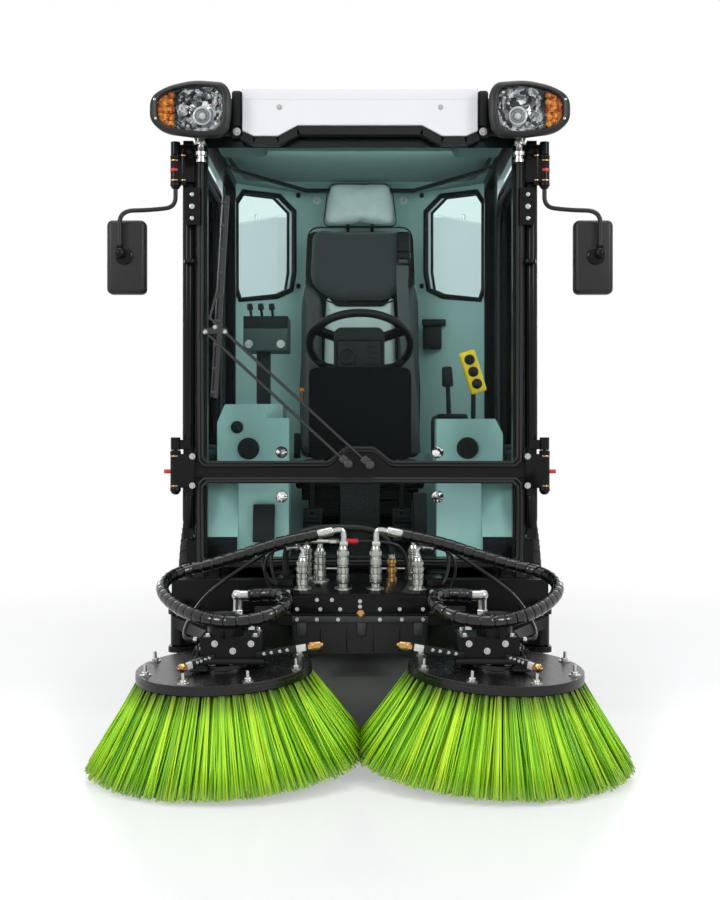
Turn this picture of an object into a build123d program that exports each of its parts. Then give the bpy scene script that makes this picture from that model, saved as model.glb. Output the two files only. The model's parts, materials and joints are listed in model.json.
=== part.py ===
from build123d import *
from math import atan, cos, degrees, radians, sin, tan
import os

# Compact articulated road sweeper, in millimetres.
# X is across the machine, +Z is up, and the front of the machine looks along -Y.
# While it is modelled, Y = 0 is the windscreen's outer plane. Everything is moved at export so that
# the origin is on the ground under the middle of the machine's length.

# ---- driving dimensions -------------------------------------------------------------------------
TYRE_R = 360
TYRE_WIDTH = 210
TRACK = 1100
CAB_HALF = 590
CAB_DEPTH = 1250
FRONT_AXLE_Y = CAB_DEPTH / 2 - 5
PIVOT_Y = CAB_DEPTH + 200
REAR_AXLE_Y = PIVOT_Y + 830
ROOF_TOP = 2088
FLOOR_TOP = 520
RAIL_X = 250
RAIL_LOW = 420
RAIL_HIGH = 500
BRUSH_X = 378
BRUSH_Y = -700
BRUSH_TILT_OUT = 2.6
BRUSH_TILT_FORWARD = 3.4
DISC_R = 245
TIP_R = 365
HOPPER_HALF = 580
HOPPER_FRONT = PIVOT_Y + 170
HOPPER_LONG = 1430
HOPPER_REAR = HOPPER_FRONT + HOPPER_LONG
HOPPER_LOW = 985
HOPPER_HIGH = 1980
HITCH_END_Y = HOPPER_REAR + 140
GAP = 6
RUNNING = 0.05
PIN_R = 6


# ---- shapes that many pieces use ----------------------------------------------------------------
def block(x, y, z):
    """A box given by its low and high limits along each axis."""
    size = [high - low for low, high in (x, y, z)]
    middle = [(high + low) / 2 for low, high in (x, y, z)]
    return Pos(*middle) * Box(*size)


def prism_x(outline, low, high):
    """An outline of (y, z) points, drawn out across the machine."""
    face = make_face(Polyline(*[(low, y, z) for y, z in outline], close=True))
    return extrude(face, amount=high - low, dir=(1, 0, 0))


def prism_y(outline, low, high):
    """An outline of (x, z) points, drawn out along the machine."""
    face = make_face(Polyline(*[(x, low, z) for x, z in outline], close=True))
    return extrude(face, amount=high - low, dir=(0, 1, 0))


def prism_z(outline, low, high):
    """An outline of (x, y) points, drawn out upwards."""
    face = make_face(Polyline(*[(x, y, low) for x, y in outline], close=True))
    return extrude(face, amount=high - low, dir=(0, 0, 1))


def bar(start, end, radius):
    """A round bar from one point to another."""
    start, end = Vector(*start), Vector(*end)
    along = end - start
    return Solid.make_cylinder(radius, along.length, Plane(origin=start, z_dir=along))


def round_block(x, y, z, radius, axis=Axis.Z):
    """A block whose four edges along one axis are rounded."""
    body = block(x, y, z)
    return fillet(body.edges().filter_by(axis), radius)


def route_radii(points, share=0.45):
    """The largest arc that each corner's two runs leave room for."""
    points = [Vector(*p) for p in points]
    radii = []
    for before, corner, after in zip(points, points[1:], points[2:]):
        first, second = corner - before, after - corner
        turn = radians(first.get_angle(second))
        radii.append(share * min(first.length, second.length) / tan(turn / 2))
    return radii


def pipe(points, radius, radii=None):
    """A round tube along straight runs joined by tangent arcs."""
    path = FilletPolyline(*points, radius=radii or route_radii(points))
    start = Plane(origin=path @ 0, z_dir=path % 0)
    return sweep(start * Circle(radius), path=path)


def flat(shape):
    """One compound or solid, without nested groups."""
    solids = list(shape.solids())
    return solids[0] if len(solids) == 1 else Compound(solids)


def mirrored(shape):
    return mirror(shape, about=Plane.YZ)


def both(shape):
    """The left and the right copy of one piece."""
    return Compound(list(shape.solids()) + list(mirrored(shape).solids()))


parts = {}

# ---- wheels and axles ---------------------------------------------------------------------------
RIM_R = 192
RIM_WELL_R = 166
HUB_R = 78
MOTOR_R = 105
WHEEL_X = TRACK / 2
TYRE_IN = WHEEL_X - TYRE_WIDTH / 2
TYRE_OUT = WHEEL_X + TYRE_WIDTH / 2
SHOULDER = 26
HUB_FACE = TYRE_IN + 40
AXLE_R = 38
RIM_LIP = 14


def turned(profile, wheel_y):
    """A profile of (x, r) points turned about a wheel's axis."""
    line = Polyline(*[(x, wheel_y, TYRE_R + r) for x, r in profile], close=True)
    return revolve(make_face(line), Axis((0, wheel_y, TYRE_R), (1, 0, 0)))


def make_tyre(y):
    low, high, mid = TYRE_IN, TYRE_OUT, WHEEL_X
    crown = 4
    return turned([
        (low + 22, RIM_R), (low + 4, RIM_R + 40), (low, RIM_R + 85), (low + 6, TYRE_R - SHOULDER),
        (low + SHOULDER, TYRE_R - crown), (mid, TYRE_R), (high - SHOULDER, TYRE_R - crown),
        (high - 6, TYRE_R - SHOULDER), (high, RIM_R + 85), (high - 4, RIM_R + 40), (high - 22, RIM_R),
    ], y)


def make_rim(y):
    low, high = TYRE_IN + 22, TYRE_OUT - 22
    barrel = turned([
        (low, RIM_R), (high, RIM_R), (high, RIM_R - RIM_LIP), (high - 22, RIM_WELL_R),
        (low + 22, RIM_WELL_R), (low, RIM_R - RIM_LIP),
    ], y)
    disc = turned([
        (HUB_FACE, 0), (HUB_FACE, HUB_R + 22), (high - 58, RIM_WELL_R + 4), (high - 46, RIM_WELL_R + 4),
        (HUB_FACE + 14, HUB_R + 14), (HUB_FACE + 14, HUB_R - 8), (HUB_FACE + 46, HUB_R - 22),
        (HUB_FACE + 52, HUB_R - 40), (HUB_FACE + 52, 0),
    ], y)
    holes = [
        Pos(WHEEL_X, y, TYRE_R) * Rot(0, 90, 0) * Pos(114 * cos(a), 114 * sin(a), 0) * Cylinder(13, 120)
        for a in [radians(36 + 72 * i) for i in range(5)]
    ]
    body = barrel + disc
    for hole in holes:
        body -= hole
    return body


AXLES = [("front", FRONT_AXLE_Y), ("rear", REAR_AXLE_Y)]
for end, axle_y in AXLES:
    for side, sign in [("left", -1), ("right", 1)]:
        tyre, rim = make_tyre(axle_y), make_rim(axle_y)
        if sign < 0:
            tyre, rim = mirrored(tyre), mirrored(rim)
        parts[f"tyre_{end}_{side}"] = tyre
        parts[f"rim_{end}_{side}"] = rim
    motor_in = RAIL_X + 45
    beam = bar((-motor_in, axle_y, TYRE_R), (motor_in, axle_y, TYRE_R), AXLE_R)
    axle = beam
    for sign in (-1, 1):
        axle += bar((sign * motor_in, axle_y, TYRE_R), (sign * (TYRE_IN - 12), axle_y, TYRE_R), MOTOR_R)
        axle += bar((sign * (TYRE_IN - 12), axle_y, TYRE_R), (sign * (HUB_FACE - 2), axle_y, TYRE_R), HUB_R)
        pad = (RAIL_X - 28, RAIL_X + 28)
        pad = (min(sign * pad[0], sign * pad[1]), max(sign * pad[0], sign * pad[1]))
        axle += block(pad, (axle_y - 70, axle_y + 70), (TYRE_R, RAIL_LOW))
    parts[f"{end}_axle"] = axle

# ---- front frame: rails, front cross beam, brush pivots and the lower half of the centre pivot ----
RAIL_HALF = 30
FRAME_FRONT = -150
FRAME_BACK = PIVOT_Y - 250
SLEW_R = 190
SLEEVE_IN = 92
SLEEVE_OUT = 100
FRONT_RING = (445, 480)
UPPER_RING = (485, 520)
LOWER_RING = (405, 440)
ARM_PIVOT_X = CAB_HALF - 30
ARM_PIVOT_Y = -250
ARM_PIVOT_R = 34
ARM_PIN_R = 15
ARM_LUG_LOW = (262, 280)
ARM_LUG_HIGH = (380, 400)
ARM_KNUCKLE = (285, 375)


def ring_plate(levels, outer_r, inner_r, back_y, back_half):
    """A slewing ring whose plate widens to the two frame rails."""
    low, high = levels
    plate = prism_z([
        (-outer_r * 0.9, PIVOT_Y), (-back_half, back_y), (back_half, back_y), (outer_r * 0.9, PIVOT_Y),
    ], low, high)
    plate += Pos(0, PIVOT_Y, (low + high) / 2) * Cylinder(outer_r, high - low)
    return plate - Pos(0, PIVOT_Y, (low + high) / 2) * Cylinder(inner_r, high - low + 2)


front_frame = ring_plate(FRONT_RING, SLEW_R, SLEEVE_OUT - 4, FRAME_BACK + 20, RAIL_X + RAIL_HALF)
sleeve_z = (LOWER_RING[0] - 4 + UPPER_RING[1] + 4) / 2
sleeve_h = UPPER_RING[1] + 4 - (LOWER_RING[0] - 4)
front_frame += Pos(0, PIVOT_Y, sleeve_z) * (
    Cylinder(SLEEVE_OUT - RUNNING, sleeve_h) - Cylinder(SLEEVE_IN, sleeve_h + 2)
)
for sign in (-1, 1):
    rail = sorted((sign * (RAIL_X - RAIL_HALF), sign * (RAIL_X + RAIL_HALF)))
    front_frame += block(rail, (FRAME_FRONT, FRAME_BACK + 40), (RAIL_LOW, RAIL_HIGH - 2))
    arm = sorted((sign * (RAIL_X - RAIL_HALF), sign * (ARM_PIVOT_X + 40)))
    front_frame += block(arm, (ARM_PIVOT_Y + 55, ARM_PIVOT_Y + 135), (ARM_LUG_HIGH[0], RAIL_HIGH - 20))
    cheek = sorted((sign * (ARM_PIVOT_X - 45), sign * (ARM_PIVOT_X + 40)))
    front_frame += block(cheek, (ARM_PIVOT_Y + 55, ARM_PIVOT_Y + 95), (ARM_LUG_LOW[0], RAIL_HIGH - 20))
    lug = sorted((sign * (ARM_PIVOT_X - 45), sign * (ARM_PIVOT_X + 40)))
    for levels in (ARM_LUG_LOW, ARM_LUG_HIGH):
        front_frame += round_block(lug, (ARM_PIVOT_Y - 40, ARM_PIVOT_Y + 60), levels, 30)
    front_frame += bar((sign * ARM_PIVOT_X, ARM_PIVOT_Y, ARM_LUG_LOW[0] - 8),
                       (sign * ARM_PIVOT_X, ARM_PIVOT_Y, ARM_LUG_HIGH[1] + 10), ARM_PIN_R)
inner = (-(RAIL_X - RAIL_HALF), RAIL_X - RAIL_HALF)
for beam_y in (30, FRAME_BACK - 100):
    front_frame += block(inner, (beam_y, beam_y + 60), (RAIL_LOW + 10, RAIL_HIGH - 10))
# Feet that carry the coupling box ahead of the cross beam.
for sign in (-1, 1):
    foot = sorted((sign * 150, sign * (RAIL_X + RAIL_HALF)))
    front_frame += block(foot, (-395, FRAME_FRONT + 40), (362, 392))
    riser = sorted((sign * (RAIL_X + 8), sign * (RAIL_X + RAIL_HALF)))
    front_frame += block(riser, (FRAME_FRONT, FRAME_FRONT + 40), (362, RAIL_LOW + 20))

# ---- steering cylinder between the two frames ------------------------------------------------------
STEER_R = 400
STEER_APART = 107.6
STEER_X = -STEER_R * cos(radians(STEER_APART / 2))
STEER_RUN = STEER_R * sin(radians(STEER_APART / 2))
STEER_Z = 345
STEER_BARREL_R = 30
STEER_ROD_R = 16
STEER_EYE_R = 24
steer_base = (STEER_X, PIVOT_Y - STEER_RUN)
steer_end = (STEER_X, PIVOT_Y + STEER_RUN)
lug_low = STEER_Z + STEER_EYE_R + 6
front_frame += block((STEER_X - 30, STEER_X + 30), (steer_base[1] - 30, steer_base[1] + 30),
                     (lug_low, RAIL_LOW))
front_frame += bar((*steer_base, lug_low + 2), (*steer_base, STEER_Z - 30), 12)
parts["front_frame"] = front_frame

barrel_len = 400
barrel = bar((STEER_X, steer_base[1] + 22, STEER_Z), (STEER_X, steer_base[1] + barrel_len, STEER_Z),
             STEER_BARREL_R)
barrel += Pos(STEER_X, steer_base[1], STEER_Z) * Cylinder(STEER_EYE_R + 4, 44)
barrel -= Pos(STEER_X, steer_base[1], STEER_Z) * Cylinder(12 + RUNNING, 80)
rod_start = steer_base[1] + 90
bore = bar((STEER_X, rod_start - 26, STEER_Z), (STEER_X, steer_base[1] + barrel_len + 1, STEER_Z),
           STEER_ROD_R + RUNNING)
parts["steer_barrel"] = barrel - bore
steer_rod = bar((STEER_X, rod_start + 130, STEER_Z), (STEER_X, steer_end[1] - 20, STEER_Z), STEER_ROD_R)
steer_rod += Pos(*steer_end, STEER_Z) * Cylinder(STEER_EYE_R + 2, 36)
steer_rod += bar((*steer_end, STEER_Z - 26), (*steer_end, STEER_Z + 26), 13)
parts["steer_rod"] = steer_rod

# ---- cab: cage, floor, rear wall, roof, glass -----------------------------------------------------
PILLAR_OUT = CAB_HALF - 41
PILLAR_IN = PILLAR_OUT - 40
PILLAR_BACK = 30
GLASS_T = 6
SEAL_HALF = PILLAR_OUT - 2
CROSS_LOW = 803
CROSS_HIGH = 835
HEAD_HIGH = ROOF_TOP - 88
HEAD_LOW = HEAD_HIGH - 45
SCREEN_TOP = HEAD_HIGH - 48
LOWER_GLASS = (525, 781)
REAR_POST_Y = CAB_DEPTH - 265
CHAMFER_X = 233
WALL = 40
CORNER_X = CAB_HALF - 30
CORNER_Y = CAB_DEPTH - 255
GLASS_BACK = -4
POST = 38

DOOR_STEP = 800
ARCH_TOP = DOOR_STEP - 8
cage = None
for sign in (-1, 1):
    pillar = sorted((sign * PILLAR_IN, sign * PILLAR_OUT))
    pieces = [
        block(pillar, (GLASS_BACK, PILLAR_BACK), (RAIL_HIGH, HEAD_HIGH)),
        block(pillar, (REAR_POST_Y - POST, REAR_POST_Y), (ARCH_TOP, HEAD_HIGH)),
        block(pillar, (GLASS_BACK, REAR_POST_Y), (HEAD_LOW + 5, HEAD_HIGH)),
        block(pillar, (GLASS_BACK, 150), (RAIL_HIGH, FLOOR_TOP)),
    ]
    for piece in pieces:
        cage = piece if cage is None else cage + piece
across = (-PILLAR_OUT, PILLAR_OUT)
cage += block(across, (GLASS_BACK, PILLAR_BACK), (HEAD_LOW + 5, HEAD_HIGH))
cage += block(across, (-12, PILLAR_BACK), (CROSS_LOW, CROSS_HIGH))
cage += block(across, (GLASS_BACK, PILLAR_BACK), (RAIL_HIGH, LOWER_GLASS[0] + 6))
# The hump in the middle of the cross bar, which carries the wiper's pivots.
cage += prism_y([(-105, CROSS_HIGH - 4), (105, CROSS_HIGH - 4), (105, 853), (45, 893), (-45, 893), (-105, 853)],
                -12, PILLAR_BACK - 10)
# Brackets beside the head of each front pillar, and the hinge posts of the doors.
HINGE_X = CAB_HALF + 24
HINGE_Y = -10
HINGE_R = 17
HINGES = [("lower", 757, 890), ("upper", HEAD_HIGH - 228, HEAD_HIGH - 128)]
KNUCKLE = 34
for sign in (-1, 1):
    for name, low, high in HINGES:
        cage += bar((sign * HINGE_X, HINGE_Y, low), (sign * HINGE_X, HINGE_Y, high), HINGE_R)
        cage += bar((sign * HINGE_X, HINGE_Y, high - 2), (sign * HINGE_X, HINGE_Y, high + 3 + KNUCKLE), PIN_R)
        strap = sorted((sign * PILLAR_OUT, sign * HINGE_X))
        cage += block(strap, (HINGE_Y - HINGE_R + 1, HINGE_Y - 2), (low + 10, high - 10))
        tab = sorted((sign * PILLAR_OUT, sign * (PILLAR_OUT + 4)))
        cage += block(tab, (HINGE_Y - HINGE_R + 1, 22), (low + 10, high - 10))
    plate = sorted((sign * (PILLAR_OUT - 19), sign * (PILLAR_OUT + 29)))
    cage += block(plate, (-24, -16), (HEAD_HIGH - 360, HEAD_HIGH - 236))
    cage += block(sorted((sign * PILLAR_OUT, sign * (PILLAR_OUT + 4))), (-24, 18),
                  (HEAD_HIGH - 345, HEAD_HIGH - 250))
parts["cab_cage"] = cage

# Door outline along the side: the lower edge climbs over the wheel arch.
DOOR_FRONT = 0
DOOR_BACK = CAB_DEPTH - 300
ARCH_FRONT = FRONT_AXLE_Y - 453
DOOR_LOW = 600
DOOR_TOP = HEAD_HIGH - 75
DOOR_IN = CAB_HALF - 33
DOOR_T = 33
DOOR_OUTLINE = [
    (DOOR_FRONT, DOOR_LOW), (ARCH_FRONT - 7, DOOR_LOW), (ARCH_FRONT + 133, DOOR_STEP), (DOOR_BACK, DOOR_STEP),
    (DOOR_BACK, DOOR_TOP - 90), (DOOR_BACK - 90, DOOR_TOP), (DOOR_FRONT, DOOR_TOP),
]
ARCH_R = TYRE_R + 45
ARCH_IN = TYRE_IN - 20
ARCH_BACK = FRONT_AXLE_Y + 415
WALL_LOW = UPPER_RING[1] + 10

floor = block((-PILLAR_OUT, PILLAR_OUT), (PILLAR_BACK, CORNER_Y), (RAIL_HIGH, FLOOR_TOP))
floor += block((-CHAMFER_X, CHAMFER_X), (CORNER_Y - 1, CAB_DEPTH - 15), (RAIL_HIGH, FLOOR_TOP))
arch_outline = [
    (ARCH_FRONT, RAIL_HIGH), (ARCH_FRONT, DOOR_LOW - 8), (ARCH_FRONT + 139, ARCH_TOP), (ARCH_BACK, ARCH_TOP),
    (ARCH_BACK, RAIL_HIGH),
]
for sign in (-1, 1):
    floor += prism_x(arch_outline, *sorted((sign * ARCH_IN, sign * CAB_HALF)))
for sign in (-1, 1):
    wheel_well = sorted((sign * (ARCH_IN + 20), sign * (CAB_HALF + 1)))
    floor -= bar((wheel_well[0], FRONT_AXLE_Y, TYRE_R), (wheel_well[1], FRONT_AXLE_Y, TYRE_R), ARCH_R)
    floor -= block(sorted((sign * PILLAR_IN, sign * PILLAR_OUT)), (PILLAR_BACK - 1, 151),
                   (RAIL_HIGH - 1, FLOOR_TOP + 1))
# Sills under the doors, ahead of the wheel arches.
for sign in (-1, 1):
    sill = sorted((sign * (PILLAR_OUT + 2), sign * (CAB_HALF - 6)))
    floor += block(sill, (PILLAR_BACK, ARCH_FRONT + 4), (RAIL_HIGH, DOOR_LOW - 8))
parts["cab_floor"] = floor

outer_wall = [
    (-CAB_HALF, CORNER_Y), (-CAB_HALF, CORNER_Y + 14), (-CHAMFER_X - 14, CAB_DEPTH + WALL),
    (CHAMFER_X + 14, CAB_DEPTH + WALL), (CAB_HALF, CORNER_Y + 14), (CAB_HALF, CORNER_Y),
    (CORNER_X, CORNER_Y), (CHAMFER_X, CAB_DEPTH), (-CHAMFER_X, CAB_DEPTH), (-CORNER_X, CORNER_Y),
]
rear_wall = prism_z(outer_wall, WALL_LOW, HEAD_HIGH)
rear_wall += block((-CAB_HALF, -CORNER_X), (DOOR_BACK + GAP, CORNER_Y + 2), (ARCH_TOP, HEAD_HIGH))
rear_wall += block((CORNER_X, CAB_HALF), (DOOR_BACK + GAP, CORNER_Y + 2), (ARCH_TOP, HEAD_HIGH))
rear_wall -= block((-CAB_HALF - 1, CAB_HALF + 1), (CORNER_Y - 60, ARCH_BACK + 0.5), (RAIL_HIGH - 1, ARCH_TOP)) \
    - block((-ARCH_IN + 1, ARCH_IN - 1), (0, 2000), (0, 2000))
CHAMFER_RUN = ((CORNER_X - CHAMFER_X) ** 2 + (CAB_DEPTH - CORNER_Y) ** 2) ** 0.5
CHAMFER_ANGLE = degrees(atan((CAB_DEPTH - CORNER_Y) / (CORNER_X - CHAMFER_X)))
# Eight-sided side window of the rear wall: distance along the panel from the centre wall, and height.
REAR_WINDOW = [
    (63, 1656), (78, 1578), (150, 1545), (338, 1517), (356, 1560), (356, HEAD_HIGH - 85),
    (320, HEAD_HIGH - 32), (140, HEAD_HIGH - 28), (63, HEAD_HIGH - 85),
]


def on_chamfer(outline, depth, thick):
    """An outline on the right-hand corner panel, cut or drawn through its thickness."""
    shape = prism_y([(s, z) for s, z in outline], depth, depth + thick)
    return Pos(CHAMFER_X, CAB_DEPTH, 0) * Rot(0, 0, -CHAMFER_ANGLE) * shape


window_cut = on_chamfer(REAR_WINDOW, -30, 120)
rear_wall -= window_cut
rear_wall -= mirrored(window_cut)
parts["cab_rear_wall"] = rear_wall

VISOR_HALF = CAB_HALF - 202
ROOF_OUTLINE = [
    (-CAB_HALF + 15, 40), (-VISOR_HALF, 40), (-VISOR_HALF, -60), (VISOR_HALF, -60), (VISOR_HALF, 40),
    (CAB_HALF - 15, 40), (CAB_HALF, 120), (CAB_HALF, CORNER_Y + 20), (CHAMFER_X + 20, CAB_DEPTH + 48),
    (-CHAMFER_X - 20, CAB_DEPTH + 48), (-CAB_HALF, CORNER_Y + 20), (-CAB_HALF, 120),
]
roof = prism_z(ROOF_OUTLINE, HEAD_HIGH + 0.5, ROOF_TOP)
roof = chamfer(roof.faces().sort_by(Axis.Z)[-1].edges(), 20)
VISOR_LOW = HEAD_HIGH - 73
VISOR_OUTLINE = [
    (-VISOR_HALF, HEAD_HIGH + 10), (-VISOR_HALF, HEAD_HIGH - 56), (-VISOR_HALF + 38, VISOR_LOW),
    (-VISOR_HALF + 118, VISOR_LOW), (-VISOR_HALF + 183, HEAD_HIGH - 38), (VISOR_HALF - 183, HEAD_HIGH - 38),
    (VISOR_HALF - 118, VISOR_LOW), (VISOR_HALF - 38, VISOR_LOW), (VISOR_HALF, HEAD_HIGH - 56),
    (VISOR_HALF, HEAD_HIGH + 10),
]
roof += prism_y(VISOR_OUTLINE, -60, -20)
roof -= block((-CAB_HALF + 120, CAB_HALF - 120), (60, DOOR_BACK + 10), (HEAD_HIGH, HEAD_HIGH + 14))
parts["cab_roof"] = roof

screen = round_block((-SEAL_HALF, SEAL_HALF), (GLASS_BACK - GLASS_T, GLASS_BACK - 0.2),
                     (CROSS_HIGH + 0.5, SCREEN_TOP), 45, Axis.Y)
screen -= prism_y([(-112, CROSS_HIGH - 6), (112, CROSS_HIGH - 6), (112, 856), (49, 899), (-49, 899), (-112, 856)],
                  -30, 30)
lower_screen = round_block((-SEAL_HALF, SEAL_HALF), (GLASS_BACK - GLASS_T, GLASS_BACK - 0.2),
                           (LOWER_GLASS[0] - 18, CROSS_LOW - 0.5), 45, Axis.Y)
rear_glass = on_chamfer([(s, z) for s, z in REAR_WINDOW], 12, GLASS_T)
parts["cab_glass"] = Compound(
    [*screen.solids(), *lower_screen.solids(), *rear_glass.solids(), *mirrored(rear_glass).solids()])

# ---- doors ----------------------------------------------------------------------------------------
DOOR_RIM = 46
WINDOW_LOW = 905

door_panel = prism_x(DOOR_OUTLINE, DOOR_IN, DOOR_IN + DOOR_T)
window = [
    (DOOR_FRONT + DOOR_RIM, WINDOW_LOW), (DOOR_BACK - DOOR_RIM, WINDOW_LOW),
    (DOOR_BACK - DOOR_RIM, DOOR_TOP - 110), (DOOR_BACK - 110, DOOR_TOP - DOOR_RIM),
    (DOOR_FRONT + DOOR_RIM, DOOR_TOP - DOOR_RIM),
]
lower_window = [
    (DOOR_FRONT + DOOR_RIM, DOOR_LOW + 45), (ARCH_FRONT - 22, DOOR_LOW + 45), (ARCH_FRONT + 73, 850),
    (DOOR_FRONT + DOOR_RIM, 850),
]
door_panel -= prism_x(window, DOOR_IN - 1, DOOR_IN + DOOR_T + 1)
door_panel -= prism_x(lower_window, DOOR_IN - 1, DOOR_IN + DOOR_T + 1)
for name, low, high in HINGES:
    knuckle = bar((HINGE_X, HINGE_Y, high + 3), (HINGE_X, HINGE_Y, high + 3 + KNUCKLE + 8), HINGE_R - 1)
    knuckle += block((DOOR_IN + 6, HINGE_X), (HINGE_Y - 3, HINGE_Y + 13), (high + 5, high + 3 + KNUCKLE))
    knuckle -= bar((HINGE_X, HINGE_Y, high), (HINGE_X, HINGE_Y, high + 3 + KNUCKLE + 1), PIN_R + RUNNING)
    door_panel += knuckle
door_panel += block((DOOR_IN + DOOR_T - 2, DOOR_IN + DOOR_T + 26), (DOOR_BACK - 150, DOOR_BACK - 130), (858, 878))
door_panel += block((DOOR_IN + DOOR_T - 2, DOOR_IN + DOOR_T + 26), (DOOR_BACK - 40, DOOR_BACK - 20), (858, 878))
door_panel += block((DOOR_IN + DOOR_T + 14, DOOR_IN + DOOR_T + 26), (DOOR_BACK - 150, DOOR_BACK - 20), (858, 878))
glass_x = (DOOR_IN + 13, DOOR_IN + 13 + GLASS_T)
door_glass = Compound([*prism_x(window, *glass_x).solids(), *prism_x(lower_window, *glass_x).solids()])
parts["door_right"] = door_panel
parts["door_left"] = mirrored(door_panel)
parts["door_glass_right"] = door_glass
parts["door_glass_left"] = mirrored(door_glass)

# ---- lamps, mirrors and wiper ----------------------------------------------------------------------
LAMP_X = CAB_HALF - 37
LAMP_Z = HEAD_HIGH + 8
LAMP_HALF = (131, 91)
LAMP_Y = (-135, -25)
lamp_face = Plane(origin=(LAMP_X, LAMP_Y[1], LAMP_Z), x_dir=(1, 0, 0), z_dir=(0, -1, 0))
lamp = extrude(lamp_face * Ellipse(*LAMP_HALF), amount=LAMP_Y[1] - LAMP_Y[0])
lamp = fillet(lamp.edges().sort_by(Axis.Y)[-1], 60)
lamp = fillet(lamp.edges().sort_by(Axis.Y)[0], 16)
lamp += bar((LAMP_X - 31, -62, LAMP_Z - 156), (LAMP_X - 31, -62, LAMP_Z - 78), 11)
lamp += block((LAMP_X - 53, LAMP_X + 22), (-74, HINGE_Y - HINGE_R + 1), (LAMP_Z - 162, LAMP_Z - 148))
parts["headlamps"] = both(lamp)

ARM_TUBE_R = 7
MIRROR_Y = -40
MIRROR_X = HINGE_X + 158
MIRROR_TOP = HEAD_HIGH - 348
mirror_path = [
    (HINGE_X, HINGE_Y, HEAD_HIGH - 228), (HINGE_X, HINGE_Y, HEAD_HIGH - 262), (HINGE_X + 40, -18, HEAD_HIGH - 310),
    (HINGE_X + 118, -30, HEAD_HIGH - 318), (MIRROR_X + 12, MIRROR_Y + 2, MIRROR_TOP - 6),
    (MIRROR_X + 22, MIRROR_Y + 2, MIRROR_TOP - 92),
]
mirror_arm = pipe(mirror_path, ARM_TUBE_R)
head = round_block((MIRROR_X - 64, MIRROR_X + 64), (MIRROR_Y - 16, MIRROR_Y + 26),
                   (MIRROR_TOP - 243, MIRROR_TOP), 24, Axis.Y)
head = fillet(head.faces().sort_by(Axis.Y)[0].edges(), 14)
parts["mirrors"] = both(head + mirror_arm)

WIPER_Y = -26
wiper = bar((-447, WIPER_Y, 1284), (33, WIPER_Y, 843), 5) + bar((-512, WIPER_Y, 1284), (-39, WIPER_Y, 846), 5)
for x, z in ((-39, 846), (33, 843)):
    wiper += bar((x, -38, z), (x, -12, z), 12)
wiper += block((-518, -441), (WIPER_Y - 6, WIPER_Y + 6), (1278, 1298))
wiper += Solid.make_box(14, 16, 672, Plane(origin=(-487, -28, 1066), x_dir=(671, 0, -40), z_dir=(40, 0, 671)))
parts["wiper"] = wiper

# ---- cab interior -----------------------------------------------------------------------------------
seat_base = block((-160, 160), (700, 1010), (FLOOR_TOP, 640))
seat_base += block((-200, 200), (680, 1030), (640, 700))
seat_base += block((-225, 225), (655, 1060), (700, 745))
seat_base += block((-150, 150), (1076, 1090), (700, 1000)) + block((-150, 150), (1050, 1090), (700, 745))
parts["seat_base"] = seat_base
cushion = round_block((-245, 245), (560, 1010), (745, 855), 60)
cushion = fillet(cushion.faces().sort_by(Axis.Z)[-1].edges(), 30)
parts["seat_cushion"] = cushion
SEAT_BACK_Y = (960, 1075)
SEAT_TOP = HEAD_HIGH - 220
back_rest = prism_y([(-245, 862), (245, 862), (250, 1150), (215, SEAT_TOP), (-215, SEAT_TOP),
                    (-250, 1150)], *SEAT_BACK_Y)
back_rest = fillet(back_rest.edges().filter_by(Axis.Y), 30)
back_rest += block((-60, 60), (1000, 1040), (SEAT_TOP - 5, SEAT_TOP + 40))
back_rest += round_block((-145, 145), (965, 1060), (SEAT_TOP + 20, HEAD_HIGH - 15), 40, Axis.Y)
parts["seat_back"] = back_rest

console = round_block((-180, 180), (250, 350), (860, 1183), 55, Axis.Y)
console += block((-70, 70), (262, 340), (FLOOR_TOP, 862))
console += round_block((-95, 89), (350, 430), (1100, 1336), 30, Axis.Y)
# The pod's top slopes away under the steering wheel.
console -= prism_x([(362, 1338), (440, 1338), (440, 1287)], -100, 95)
parts["dash_column"] = console
CONSOLE_OUT = PILLAR_IN - 9
CONSOLE_TOP = ARCH_TOP + 88
left_box = prism_y([(-ARCH_IN, FLOOR_TOP), (-249, FLOOR_TOP), (-249, 1005), (-330, 1005), (-345, 1053),
                    (-CONSOLE_OUT + 27, 1053), (-CONSOLE_OUT, 990), (-CONSOLE_OUT, ARCH_TOP),
                    (-ARCH_IN, ARCH_TOP)], 210, 330)
left_box += block((-CONSOLE_OUT, -262), (330, DOOR_BACK - 10), (ARCH_TOP, CONSOLE_TOP))
left_box += block((-424, -280), (380, 640), (CONSOLE_TOP - 2, 1060))
left_box += block((-424, -262), (380, 560), (1255, 1380)) + block((-380, -330), (430, 470), (1055, 1260))
right_box = prism_y([(268, FLOOR_TOP), (ARCH_IN, FLOOR_TOP), (ARCH_IN, ARCH_TOP),
                     (CONSOLE_OUT, ARCH_TOP), (CONSOLE_OUT, 950), (CONSOLE_OUT - 26, 1002), (268, 1002)], 210, 330)
right_box += block((262, CONSOLE_OUT), (330, DOOR_BACK - 10), (ARCH_TOP, CONSOLE_TOP))
right_box += round_block((280, 400), (420, 800), (CONSOLE_TOP - 2, 1010), 24)
PENDANT_X = CONSOLE_OUT - 86
right_box += bar((PENDANT_X + 6, 480, CONSOLE_TOP - 2), (PENDANT_X + 4, 440, 1170), 9)
pendant = Pos(PENDANT_X, 430, 1179) * Rot(0, -17, 0) * Box(50, 34, 150)
right_box += pendant
interior = Compound([*left_box.solids(), *right_box.solids()])
parts["side_consoles"] = interior

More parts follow.
